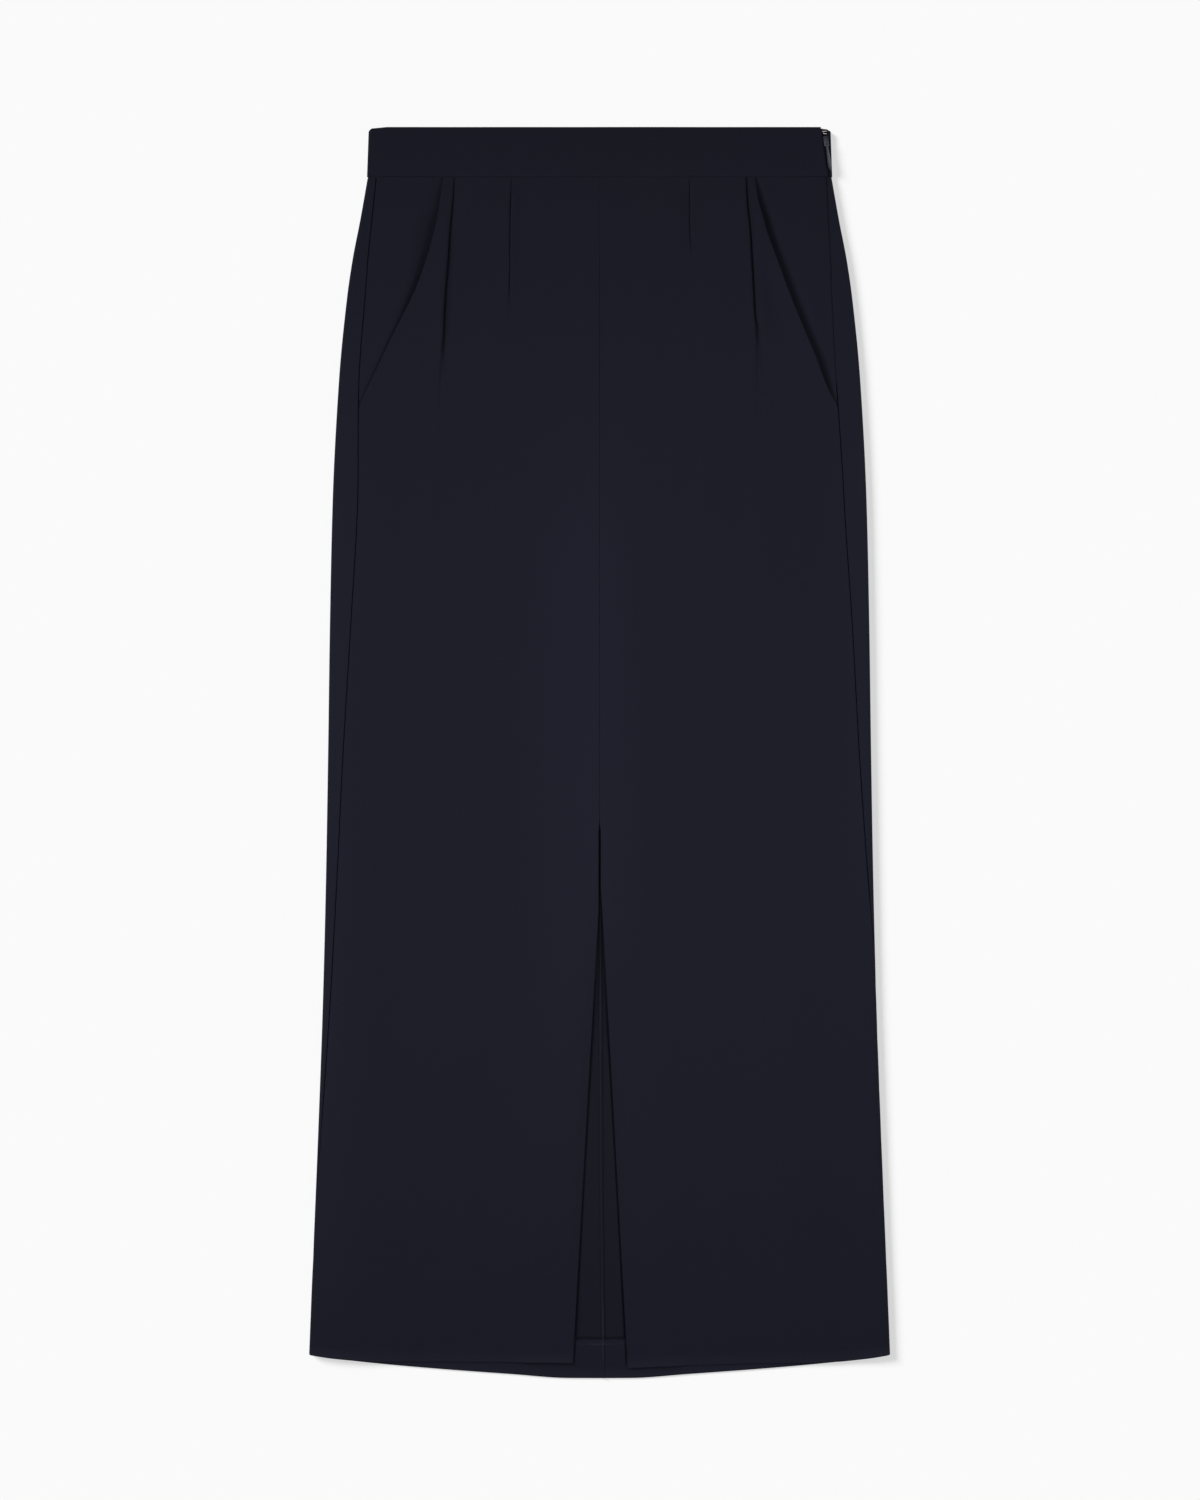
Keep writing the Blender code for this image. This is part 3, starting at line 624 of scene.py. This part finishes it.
def hem_share(down):
    """1 where the hem's turned-up allowance lies behind the cloth, and less along its pressed edge."""
    pressed = 1 - PRESSED_SHARE * ease((HEM_SIDE - down) / PRESSED)
    return pressed * rising(down, HEM_TOP, HEM_TOP + TURN_STEP)


for side, word in SIDES:
    down = rows_to(HEM_SIDE, DOUBLE / 2, [HEM_TOP - 2.5, HEM_TOP - 1.2, HEM_TOP])
    bound = side_seam[side](down) - side_gap(down, side)
    quarter = fold_height(down) * math.pi / 4
    wrap_end = np.minimum(quarter, bound - BESIDE)
    under = np.minimum(-quarter, bound - 3 * BESIDE)
    seam = side * back_seam(down) - CLOSED
    edge_rim = DOUBLE / 2 if side < 0 else CLOTH / 2
    pressed = seam + ALLOWANCE
    step = np.maximum(opening(down, side), pressed + 3 * BESIDE)
    run = np.hstack([
        bound - rim(SIDE_RIM),
        through(bound - SIDE_RIM - NEXT, (8, wrap_end), (18, under), (36, -run_at(step + BESIDE, down)),
                (10, -run_at(step - BESIDE, down)), (26, -run_at(pressed + BESIDE, down)),
                (8, -run_at(seam + edge_rim + NEXT, down))),
        -run_at(seam + rim(edge_rim)[::-1], down),
    ])
    wall = wall_at(run, down, side)
    share = hem_share(down) + 0 * run
    if side < 0:  # both allowances are pressed to the left
        share = np.maximum(share, falling(wall.x, pressed, pressed + TURN_STEP) * (run < 0))
    thick = CLOTH + (DOUBLE - CLOTH) * share + swell(wall.x, down, side) * (run < 0)
    rims = (SIDE_RIM, edge_rim, WAIST_RIM, DOUBLE / 2)
    piece = add_cloth(f"back_{word}_cloth", down, wall, thick, side, rims, hem_drop("back", wall.x, down))
    lay_sheet(piece, f"back_{word}")

# ------------------------------------------------------------------------------
# Hip pieces: the side pieces of the two slant pockets, of the same crepe. Each shows from the pocket's mouth
# out to the side seam and reaches in behind the mouth. It is sewn into the waist seam and the side seam.

HIP_RIM = CLOTH / 2  # the width over which its raw edges are rounded
# how far outside the mouth the hip piece lies at its lowest, and the width over which it then rises
POCKET_FLAT = {-1: 0.5, 1: 0.6}
pocket_dip = {-1: curve((40, 8), (60, 15), (84, 17), (108, 13), (132, 9), (170, 5), (224, 4)),
              1: curve((40, 4), (60, 8), (150, 11), (190, 10), (224, 4))}
HIP_GAP = 1.4  # from the front's face down to the hip piece's
mouth_gape = {-1: curve((40, 0), (58, 2), (84, 4.4), (108, 4.4), (132, 3.1), (165, 0.9), (224, 0)),
              1: curve((40, 0), (52, 2), (75, 3.8), (185, 3.8), (205, 2.8), (216, 0.2), (224, 0))}


def dipped(wall, drop):
    """A wall let down by drop(x), along the layer above it."""
    return Wall(wall.x, wall.z - drop(wall.x), wall.turn - np.arctan(drop(wall.x + 0.5) - drop(wall.x - 0.5)))


def hip_drop(x, down, side):
    """How far the hip piece lies below the level of the front's face."""
    beyond = x - pocket_mouth[side](down) - POCKET_FLAT[side]
    return (HIP_GAP + mouth_gape[side](down)) * ease(beyond / pocket_dip[side](down))


for side, word in SIDES:
    down = rows_to(POCKET_END, HIP_RIM)
    first = run_at(pocket_mouth[side](down) - mouth_cover(down), down)
    bound = side_seam[side](down) + side_gap(down, side)
    run = np.hstack([
        first - rim(HIP_RIM), between(first - HIP_RIM - NEXT, bound + SIDE_RIM + NEXT, 40),
        bound + rim(SIDE_RIM)[::-1],
    ])
    wall = dipped(wall_at(run, down, side), lambda x: hip_drop(x, down, side))
    rims = (HIP_RIM, SIDE_RIM, WAIST_RIM, HIP_RIM)
    piece = add_cloth(f"hip_{word}_cloth", down, wall, CLOTH + 0 * run, side, rims)
    lay_sheet(piece, f"hip_{word}")

# ------------------------------------------------------------------------------
# Front panels: two panels of the same crepe, joined by the centre seam down to the slit. Each has two forward
# pleats laid under the waistband, whose folds face the middle, a slant-cut pocket mouth, a turned-in slit
# edge and a turned-up hem.

FOLD_STEPS = 9
LIP_COVER = 0.2  # the cloth on the middle's side starts to rise this far before the fold's edge
DENT_SPAN = 9.0
LEAST_FOLD = 0.04  # shortest step round a fold
OUTER_SHARE = 0.95  # share of the pleats' whole lift by which the cloth goes down to the outer one
OPEN_SPAN = 15.0  # width over which the raised edge of an open pleat or pocket mouth comes down again
SEAM_RIM = 0.05  # width over which the centre seam's edges are rounded at the waist
SEAM_RIM_GAIN = 0.35  # and how much more farther down
SEAM_RIM_GAINS = (94.0, 124.0)
SLIT_RIM_GAIN = 0.1


def outer_deep(down):
    """How far the cloth goes down to the outer pleat."""
    return OUTER_SHARE * waist_rise(down)


class PleatFold:
    """A pleat: the cloth goes down, under the fold's edge, back up and out again. turn is how far it is
    folded round, bend the radius of its folds, and tuck the width hidden between them. The cloth on the
    middle's side goes down to it by deep, over the width fall; before that it dents by dent over DENT_SPAN.
    Where the pleat is thicker than that it stands, with its edge raised."""

    def __init__(self, down, edge, turn, bend, tuck, fall, deep, dent):
        turn, bend = np.radians(turn(down)), bend(down)
        chord = 2 * bend * np.sin(turn / FOLD_STEPS / 2) + LEAST_FOLD
        shares = np.arange(1, FOLD_STEPS + 1) / FOLD_STEPS
        shares = np.concatenate([shares, [1.0], 1 - shares])
        turns = np.hstack([0 * down, turn * shares])
        folds = np.repeat(chord, FOLD_STEPS, axis=1)
        lengths = np.hstack([folds, tuck(down), folds])
        heading = (turns[:, :-1] + turns[:, 1:]) / 2
        x = np.hstack([0 * down, np.cumsum(lengths * np.cos(heading), axis=1)])
        z = np.hstack([0 * down, np.cumsum(lengths * np.sin(heading), axis=1)])
        self.lip = edge(down)
        self.start = self.lip + CLOTH / 2 - x.min(axis=1, keepdims=True)
        self.end = self.start + x[:, -1:]
        self.sunk = np.minimum(z[:, -1:], deep(down))
        self.dent = np.minimum(self.sunk, dent(down))
        self.raised = z[:, -1:] - self.sunk
        self.fall = fall(down)
        self.x = self.start + x
        self.rise = z - self.sunk
        self.turns = turns

    def dip(self, x):
        """How far the cloth on the middle's side has gone down, x from the middle."""
        before = self.lip - LIP_COVER - x
        steep = 1 - np.clip(before / self.fall, 0.0, 1.0) ** 3
        return self.dent * ease(before / DENT_SPAN) + (self.sunk - self.dent) * steep

    def stand(self, x):
        """How far the cloth beyond the fold is raised, as a drop."""
        return -self.raised * ease((x - self.end) / OPEN_SPAN)

    def wall(self, down, side):
        return Wall(self.x, top_height(self.x, down, side) - CLOTH / 2 + self.rise, self.turns)


# The two pleats of each side, by distance down. A dent below 0 is a swelling.
outer = {
    -1: dict(
        edge=curve((40, 116.2), (60, 117.6), (84, 120.1), (108, 121.6), (132, 123.6), (156, 124.8),
                   (178, 125.3), (212, 126.6), (250, 127.6)),
        turn=curve((40, 180), (140, 180), (165, 140), (185, 70), (215, 22), (250, 0)),
        bend=curve((40, 0.6), (60, 0.9), (90, 1.25), (150, 1.45), (180, 0.9)),
        fall=curve((40, 0.8), (60, 1), (84, 1.5), (110, 1.7), (150, 1.7), (175, 1.9), (200, 3),
                   (250, 5)),
        dent=curve((40, 0.2), (70, 0.7), (110, 1.1), (150, 1.1), (200, 0.4), (250, 0.3)),
    ),
    1: dict(
        edge=curve((40, 117.6), (60, 118.9), (84, 121.4), (108, 122.8), (156, 125.5), (178, 126.8),
                   (212, 128.2), (250, 129.2)),
        turn=curve((40, 180), (130, 180), (152, 130), (170, 75), (200, 44), (230, 26), (250, 0)),
        bend=curve((40, 0.6), (60, 0.95), (90, 1.3), (140, 1.35), (180, 0.75)),
        fall=curve((40, 1.2), (60, 1.8), (150, 1.9), (190, 2.4), (250, 5)),
        dent=curve((40, 0.1), (100, 0.3), (200, 0.5), (250, 0.3)),
    ),
}
outer_tuck = curve((40, 3.4), (90, 4.4), (145, 1.4), (178, 0.7), (212, 0.5), (250, 1))
inner = {
    -1: dict(
        edge=curve((40, 70.2), (60, 70.8), (90, 71.3), (120, 71.6), (178, 73.2), (250, 74.6)),
        turn=curve((40, 180), (100, 180), (115, 110), (130, 45), (150, 15), (190, 0)),
        tuck=curve((40, 8), (75, 6), (98, 1), (115, 0.5), (250, 1)),
        dent=curve((40, -0.4), (60, -2.2), (100, -2), (125, -0.6), (190, 0)),
    ),
    1: dict(
        edge=curve((40, 71.8), (90, 72.3), (145, 73.2), (178, 73.8), (250, 74.6)),
        turn=curve((40, 180), (76, 180), (90, 110), (102, 45), (118, 15), (150, 0)),
        tuck=curve((40, 8), (56, 6), (74, 1), (90, 0.5), (250, 1)),
        dent=curve((40, 0.3), (60, 1.7), (85, 1.4), (125, 0.3), (190, 0.1)),
    ),
}
inner_bend = curve((40, 0.44), (100, 0.44), (115, 0.4))
inner_fall = curve((40, 0.25), (60, 0.35), (110, 0.35), (190, 2))
inner_deep = curve((40, 2), (110, 2), (190, 1))
mouth_stand = {
    -1: curve((40, 0), (60, 0.3), (90, 0.6), (130, 0.5), (170, 0.3), (224, 0)),
    1: curve((40, 0), (50, 0.9), (75, 2.4), (110, 3.2), (180, 3.3), (205, 2.4), (224, 0)),
}

for side, word in SIDES:
    down = rows_to(HEM_SIDE, DOUBLE / 2, [SLIT_TOP, HEM_TOP])
    outer_pleat = PleatFold(down, **outer[side], tuck=outer_tuck, deep=outer_deep)
    inner_pleat = PleatFold(down, **inner[side], bend=inner_bend, fall=inner_fall, deep=inner_deep)
    edge = slit_half(down, side)
    turned = edge + SLIT_TURN
    slit = rising(down, SLIT_TOP, SLIT_TOP + TURN_STEP)
    edge_rim = SEAM_RIM + SEAM_RIM_GAIN * rising(down, *SEAM_RIM_GAINS) + SLIT_RIM_GAIN * slit

    def laid(x, drop):
        return dipped(wall_at(run_at(x, down), down, side), drop)

    bound = side_seam[side](down) + side_gap(down, side)
    at_mouth = run_at(pocket_mouth[side](down), down)
    open_mouth = mouth_stand[side](down) * (down < MOUTH_END)
    bound = np.where(down < MOUTH_END, np.maximum(bound, at_mouth), bound)
    last = half_width(down) - fold_height(down) / 2 * (1 - math.pi / 2) - bound  # its x

    def raised(x):
        """The raised edges of the outer pleat and of the pocket's mouth, as a drop."""
        return outer_pleat.stand(x) - open_mouth * ease((last - x) / OPEN_SPAN)

    lip = inner_pleat.lip
    near = np.hstack([
        edge + rim(edge_rim), between(edge + edge_rim + NEXT, turned, 10), turned, turned + TURN_STEP,
        through(turned + BESIDE, (8, lip - 12), (10, lip - 1.2), (8, lip), (3, inner_pleat.start)),
    ])
    lip = outer_pleat.lip
    middle = through(inner_pleat.end, (14, lip - 6), (18, lip), (3, outer_pleat.start))[:, 1:]
    beyond = run_at(outer_pleat.end, down)
    border = bound + SIDE_RIM + np.minimum(12.0, 0.5 * (beyond - bound - SIDE_RIM - NEXT))
    run = through(beyond, (18, border), (8, bound + SIDE_RIM + NEXT))[:, 1:]
    run = np.hstack([run, bound + rim(SIDE_RIM)[::-1]])
    wall = side_by_side(
        laid(near, inner_pleat.dip), inner_pleat.wall(down, side),
        laid(middle, lambda x: outer_pleat.dip(x) + inner_pleat.stand(x)), outer_pleat.wall(down, side),
        dipped(wall_at(run, down, side), raised),
    )
    share = np.maximum(hem_share(down), slit * falling(wall.x, turned, turned + TURN_STEP))
    thick = CLOTH + (DOUBLE - CLOTH) * share
    rims = (edge_rim, SIDE_RIM, WAIST_RIM, DOUBLE / 2)
    piece = add_cloth(f"front_{word}_cloth", down, wall, thick, side, rims, hem_drop(word, wall.x, down))
    lay_sheet(piece, f"front_{word}")

# ------------------------------------------------------------------------------
# Waistband: one straight strip of the crepe over a firm interlining, folded double along its upper edge and
# sewn to the skirt along its lower one. It ends at the zip on the right side.

BAND_WALL = 2.0
BAND_TOP = 6.2  # height of the band as it lies
BAND_HALF = 184.6  # half width at its upper edge
BAND_SPREAD = 1.3  # it widens by this to its lower edge
BAND_END = 20.0  # angle past the side at which the back of the band ends, in degrees
BAND_FLAT = 170.0  # half width of its flat middle
BAND_FRONT_END = 176.6  # where its front ends at the zip, at its upper edge
BAND_SLANT = 5.2  # and how much farther out at its lower edge
BAND_RIPPLE = 0.25  # how far its face rises and falls
RIPPLE_LENGTHS = (23.0, 61.0)
RIPPLE_FADE = 30.0  # width over which it dies out to the sides
BAND_FALL = (0.7, 1.0)  # how far its face falls to its upper and lower edge
BAND_FALL_WIDTH = (9.0, 5.0)
CORNER_DROP = 3.4  # how far its upper corners are drawn down
CORNER_WIDTH = 8.0


def band_front_end(down):
    """Where the front of the band ends at the zip."""
    return BAND_FRONT_END + BAND_SLANT * down / BAND_DEPTH


def band_arc(down, side, first, last, count):
    """The band round one side, between two angles in degrees, as x from the middle of the skirt."""
    radius = BAND_TOP / 2
    angle = np.radians(between(first, last, count)) + 0 * down
    middle = side * (BAND_HALF + BAND_SPREAD * down / BAND_DEPTH - radius)
    reach = radius - CLOTH / 2
    return Wall(middle + reach * np.cos(angle), radius + reach * np.sin(angle), angle - math.pi / 2)


rims = (1.0, 1.0, 1.0, 0.4)  # at its two ends, along the top and along the waist seam
rows = [2.0, 3.5, 5.0, 7.0, 9.0, 12.0, 16.0, 22.0, 28.0, 34.0, 37.0]
down = np.unique(np.concatenate([rim(rims[2]), rows, BAND_DEPTH - SEAM - rim(rims[3])]))[:, None]
end = band_front_end(down)
under = between(BAND_FLAT, -BAND_FLAT, 60) + 0 * down
over = between(-BAND_FLAT, end - rims[1] - NEXT, 100) + 0 * down
over = np.hstack([over, end - rim(rims[1])[::-1]])
ripple = BAND_RIPPLE * np.sin(over / RIPPLE_LENGTHS[0]) * np.sin(over / RIPPLE_LENGTHS[1] + 1.0)
ripple = ripple * rising(BAND_FLAT - np.abs(over), 0.0, RIPPLE_FADE)
fall = BAND_FALL[0] * ease(down / BAND_FALL_WIDTH[0])
fall = fall + BAND_FALL[1] * ease((BAND_DEPTH - down) / BAND_FALL_WIDTH[1])
wall = side_by_side(
    band_arc(down, 1, BAND_END, -90.0, 10), Wall(under, 0 * under + CLOTH / 2, 0 * under - math.pi),
    band_arc(down, -1, -90.0, -270.0, 16), Wall(over, BAND_TOP - CLOTH / 2 - fall + ripple, 0 * over),
)
past = np.clip((np.abs(wall.x) - BAND_HALF + CORNER_WIDTH) / CORNER_WIDTH, 0.0, 1.0)
corner_drop = CORNER_DROP * past**2.5 * (1 - down / BAND_DEPTH)
band = add_cloth("waistband_cloth", down, wall, BAND_WALL + 0 * wall.x, 1, rims, corner_drop)
lay_sheet(band, "waistband")

# ------------------------------------------------------------------------------
# Zip: polyester tape sewn behind the opening at the right side, with a nylon coil along its underside. It
# runs from the top of the waistband down behind the side seam.

TAPE = 0.5  # thickness
TAPE_HALF = 5.0
TAPE_TOP = 7.0
TAPE_FOOT = 204.0
TAPE_RIM = 0.2
TAPE_PAST = 1.0  # the tape reaches this far past the front end of the band
TAPE_SUNK = 1.5  # how much lower than the band's face its place in the band is
ZIP_LEAVES_BAND = (34.0, 48.0)
TAPE_DEEP = 1.35  # the tape's face lies this far under the cloth's
RIB_PITCH = 0.8
COIL_HALF = 1.5
COIL_LIFT = 0.28  # half its height
COIL_PITCH = 1.3
COIL_THREAD = 0.22  # radius of the coil's filament
COIL_SUNK = 0.5  # from the tape's underside to the coil's middle
COIL_STOP = 3.0  # from the tape's top to the coil's


def zip_wall(across, down, deep):
    """The zip, across it from its middle and deep under the cloth's face: flat in the band, and then behind
    the side seam."""
    x = band_front_end(down) + TAPE_PAST - TAPE_HALF + across
    in_band = x, BAND_TOP - TAPE_SUNK - deep + 0 * across, 0 * across
    behind = dipped(wall_at(side_seam[1](down) - across, down, 1, deep), lambda x: hip_drop(x, down, 1))
    share = falling(down, *ZIP_LEAVES_BAND)
    return Wall(*(share * flat + (1 - share) * bent for flat, bent in zip(in_band, behind)))


def add_wire(name, points, radius, material, node=None):
    """A round wire or thread along points in millimetres, left selected."""
    wire = added(name, bpy.ops.curve.primitive_bezier_curve_add)
    wire.data.splines.clear()
    line = wire.data.splines.new("NURBS")
    line.points.add(len(points) - 1)
    for point, place in zip(line.points, points):
        point.co = (*(MM * value for value in place), 1.0)
    line.use_endpoint_u = True
    line.order_u = 3
    line.resolution_u = 2
    wire.data.bevel_depth = radius * MM
    wire.data.bevel_resolution = 1
    wire.data.use_fill_caps = True
    bpy.ops.object.convert(target="MESH")
    wire.data.shade_smooth()
    wire.data.materials.append(material)
    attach(wire, "skirt")
    if node:
        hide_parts(node)


ribbed = Finish("zip_tape", {"Specular IOR Level": 0.25, "Roughness": 0.7})
cut = ribbed.cut()
ribs = (cut.axis("X") * (2 * math.pi / (RIB_PITCH * MM))).maths("SINE")
ribbed.relief(ribs * 0.4 + ribbed.noise(cut, 900.0) * 0.6 + 0.1, 0.08)
colour = ribbed.blend(ribbed.noise(cut, 500.0), (0.0045, 0.0055, 0.011), (0.007, 0.008, 0.016))
ribbed.feed("Base Color", colour)

down = np.concatenate([TAPE_TOP + rim(TAPE_RIM), np.linspace(TAPE_TOP + 1.0, TAPE_FOOT - 1.0, 60),
                       TAPE_FOOT - rim(TAPE_RIM)])
down = np.unique(down.round(4))[:, None]
edge = TAPE_HALF - TAPE_RIM - NEXT
across = np.concatenate([-TAPE_HALF + rim(TAPE_RIM), np.linspace(-edge, edge, 14),
                         TAPE_HALF - rim(TAPE_RIM)[::-1]]) + 0 * down
wall = zip_wall(across, down, TAPE_DEEP + CLOTH / 2)
tape = add_cloth("zip_tape_cloth", down, wall, TAPE + 0 * across, 1, [TAPE_RIM] * 4)
lay_sheet(tape, "zip_tape", ribbed)

turns = np.arange(0, (TAPE_FOOT - TAPE_TOP - 8) / COIL_PITCH, 0.125)[:, None]
down = TAPE_TOP + COIL_STOP + COIL_PITCH * turns
turning = 2 * math.pi * turns
coil = zip_wall(COIL_HALF * np.cos(turning), down, TAPE_DEEP + TAPE + COIL_SUNK + COIL_LIFT * np.sin(turning))
coil_finish = Finish("navy_nylon", {"Base Color": (0.008, 0.010, 0.020, 1.0), "Roughness": 0.4})
points = np.hstack([coil.x, WAIST_Y - down, coil.z])
add_wire("zip_coil", points.tolist(), COIL_THREAD, coil_finish.material)

# ------------------------------------------------------------------------------
# Slider and pull: die-cast and enamelled navy. The slider's bridge holds the teardrop pull, which hangs from
# it along the zip and turns on it.

SLIDER_AT = (181.1, 12.6)  # the pull's axis: distance from the middle, down
SLIDER_SLANT = math.radians(8.5)  # angle by which the zip's opening leans out
SLIDER_SIZE = (4.0, 8.0, 1.0)
CAST_EDGE = 0.35
BRIDGE_WIRE = 0.42  # its radius
AXIS_HEIGHT = 5.8
PULL_WALL = 0.7
PULL_BEVEL = 0.08
PULL_BORDER = 0.22  # width of its border
PULL_SUNK = 0.14  # how far its face is sunk inside it


def on_slider(out, along, z):
    """A point in metres beside the pull's axis: out across the zip, along it towards the hem."""
    x = SLIDER_AT[0] + out * math.cos(SLIDER_SLANT) + along * math.sin(SLIDER_SLANT)
    y = WAIST_Y - SLIDER_AT[1] + out * math.sin(SLIDER_SLANT) - along * math.cos(SLIDER_SLANT)
    return x * MM, y * MM, z * MM


enamel = Finish("navy_enamel", {"Coat Weight": 0.3, "Coat Roughness": 0.12})
spots = enamel.noise(enamel.place, 700.0, 3.0)  # a little uneven, and duller where fingers touch it
enamel.feed("Base Color", enamel.blend(spots, (0.014, 0.018, 0.031), (0.022, 0.027, 0.044)))
enamel.feed("Roughness", 0.24 + spots * 0.16)
enamel.relief(spots, 0.03)

slider = added("slider", bpy.ops.mesh.primitive_cube_add, size=MM, location=on_slider(0, -1.4, 4.4),
               rotation=(0, 0, SLIDER_SLANT))
slider.scale = SLIDER_SIZE
bpy.ops.object.transform_apply()
bevel = slider.modifiers.new("cast_edges", "BEVEL")
bevel.width = CAST_EDGE * MM
bevel.segments = 3
bpy.ops.object.modifier_apply(modifier="cast_edges")
bpy.ops.object.shade_smooth_by_angle(angle=math.radians(50))
# the bridge, seen from the side: along, height
arch = [(-4.1, 4.5), (-3.9, 5.4), (-3.0, 6.4), (-1.4, 6.65), (0.4, 6.65), (1.2, 6.3), (1.35, 5.5),
        (1.35, 4.5)]
arch = [[value / MM for value in on_slider(0, *place)] for place in arch]
add_wire("bridge", arch, BRIDGE_WIRE, enamel.material)
slider.select_set(True)
bpy.context.view_layer.objects.active = slider
bpy.ops.object.join()
slider.data.materials.clear()
slider.data.materials.append(enamel.material)
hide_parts("zip_slider")
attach(slider, "skirt")

# the pull and its eye: half of each outline, as distances out from its middle and along it
pull_side = [(1.1, -0.3), (1.4, 0.2), (1.35, 2.0), (1.05, 4.0), (1.1, 8.0), (1.4, 13.5), (1.5, 18.0),
             (1.1, 21.2), (0.45, 22.4)]
eye_side = [(0.5, 0.3), (0.75, 0.6), (0.75, 1.6), (0.65, 2.2), (0.3, 2.4)]
pull = added("pull", bpy.ops.curve.primitive_bezier_curve_add, location=on_slider(0, 0, AXIS_HEIGHT),
             rotation=(0, 0, SLIDER_SLANT))
pull.data.splines.clear()
pull.data.dimensions = "2D"
pull.data.fill_mode = "BOTH"
for half in (pull_side, eye_side):
    loop = half + [(-out, along) for out, along in reversed(half)]
    line = pull.data.splines.new("BEZIER")
    line.bezier_points.add(len(loop) - 1)
    for point, (out, along) in zip(line.bezier_points, loop):
        point.co = (out * MM, -along * MM, 0.0)
        point.handle_left_type = point.handle_right_type = "AUTO"
    line.use_cyclic_u = True
    line.resolution_u = 4
pull.data.extrude = (PULL_WALL / 2 - PULL_BEVEL) * MM
pull.data.bevel_depth = PULL_BEVEL * MM
pull.data.offset = -PULL_BEVEL * MM
pull.data.bevel_resolution = 1
bpy.ops.object.convert(target="MESH")
bpy.ops.object.transform_apply()
bpy.ops.object.mode_set(mode="EDIT")
bpy.ops.mesh.select_all(action="SELECT")
bpy.ops.mesh.remove_doubles(threshold=0.001 * MM)
bpy.ops.mesh.select_all(action="DESELECT")
bpy.ops.object.mode_set(mode="OBJECT")
for face in pull.data.polygons:
    face.select = face.normal.z > 0.99
bpy.ops.object.mode_set(mode="EDIT")
bpy.ops.mesh.select_mode(type="FACE")
bpy.ops.mesh.inset(thickness=PULL_BORDER * MM, depth=-PULL_SUNK * MM)
bpy.ops.object.mode_set(mode="OBJECT")
bpy.ops.object.shade_smooth_by_angle(angle=math.radians(35))
pull.data.materials.append(enamel.material)
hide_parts("zip_pull")
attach(pull, "pull_tab")

# ------------------------------------------------------------------------------
# Hook and eye above the zip: a bent brass wire sewn inside the back end of the band, and a loop of buttonhole
# thread on its front end.

brass = Finish("hook_brass", {"Metallic": 1.0, "Roughness": 0.3})
tarnish = brass.noise(brass.place, 900.0, 3.0)
brass.feed("Base Color", brass.blend(tarnish, (0.80, 0.72, 0.68), (0.55, 0.46, 0.42)))
hook = [(181.6, 3.0), (179.4, 3.0), (178.6, 3.3), (178.3, 4.0), (178.6, 4.7), (179.4, 5.0), (181.6, 5.0)]
hook = [(x, WAIST_Y - down, BAND_WALL + 0.7) for x, down in hook]
add_wire("hook_wire", hook, 0.4, brass.material, "hook")

twist = Finish("buttonhole_thread", {"Roughness": 0.55, "Sheen Weight": 0.2})
ply = twist.noise(twist.place, 3000.0)
twist.feed("Base Color", twist.blend(ply, (0.010, 0.012, 0.024), (0.030, 0.034, 0.055)))
loop = [(0.0, 1.5), (0.7, 1.6), (1.3, 2.5), (0.7, 3.4), (0.0, 3.5)]
loop = [(band_front_end(2.6) + 0.3 + out, WAIST_Y - down, BAND_TOP - 1.2) for out, down in loop]
add_wire("hook_eye_thread", loop, 0.35, twist.material, "hook_eye")

# ------------------------------------------------------------------------------
# Overlock stitches: thread over the raw edges that show in the slit, along the back seam's allowance and
# along the turned-up hem. Near the seam's lower end the thread is painted paler: a painted highlight, where
# it catches the light.

STITCH = 3.4  # length of one
STITCH_WIDTH = 1.5
OVERLOCK_THREAD = 0.16  # radius
SEAM_STITCHES = (564.0, 968.0)  # from and to, down the seam
HEM_STITCHES = (-200.0, 200.0)  # and across the hem
HEM_INSET = 2.2  # how far these lie inside the raw edge

binding = Finish("overlock_thread", {"Roughness": 0.6, "Specular IOR Level": 0.15, "Sheen Weight": 0.05})
# painted highlight: the thread is painted paler near the seam's lower end, where it catches the light
painted_light = binding.down(930, 946) * binding.near_middle(9, 7)
strands = binding.noise(binding.place, 260.0, 3.0)
dark = binding.blend(strands, (0.0055, 0.0065, 0.0130), (0.0085, 0.0085, 0.0170))
highlight_colour = binding.blend(strands, (0.010, 0.011, 0.021), (0.034, 0.038, 0.062))
binding.feed("Base Color", binding.blend(painted_light, dark, highlight_colour))


def stitches(start, end):
    """The thread's way along an edge from start to end, as distances along it and in from it."""
    along = np.arange(start, end, STITCH / 4)
    inward = STITCH_WIDTH * np.array([0.0, 0.5, 1.0, 0.5])
    return along, inward[np.arange(len(along)) % 4]


def on_back(x, down, lift):
    """Points in millimetres on the doubled edges of the back's inner face, x from the middle of the skirt."""
    side = -1 if np.mean(x) < 0 else 1
    z = under_height(np.abs(x), down, side) + DOUBLE + swell(np.abs(x), down, side) + lift
    return np.stack([x, WAIST_Y - down - hem_drop("back", np.abs(x), down), z], axis=1).tolist()


along, inward = stitches(*SEAM_STITCHES)
edge = back_seam(along) - CLOSED - ALLOWANCE
points = on_back(edge + inward, along, OVERLOCK_THREAD)
add_wire("seam_overlock", points, OVERLOCK_THREAD, binding.material)
along, inward = stitches(*HEM_STITCHES)
points = on_back(along, HEM_TOP + HEM_INSET + inward, OVERLOCK_THREAD)
add_wire("hem_overlock", points, OVERLOCK_THREAD, binding.material)

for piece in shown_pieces():
    skirt_light.objects.link(piece)
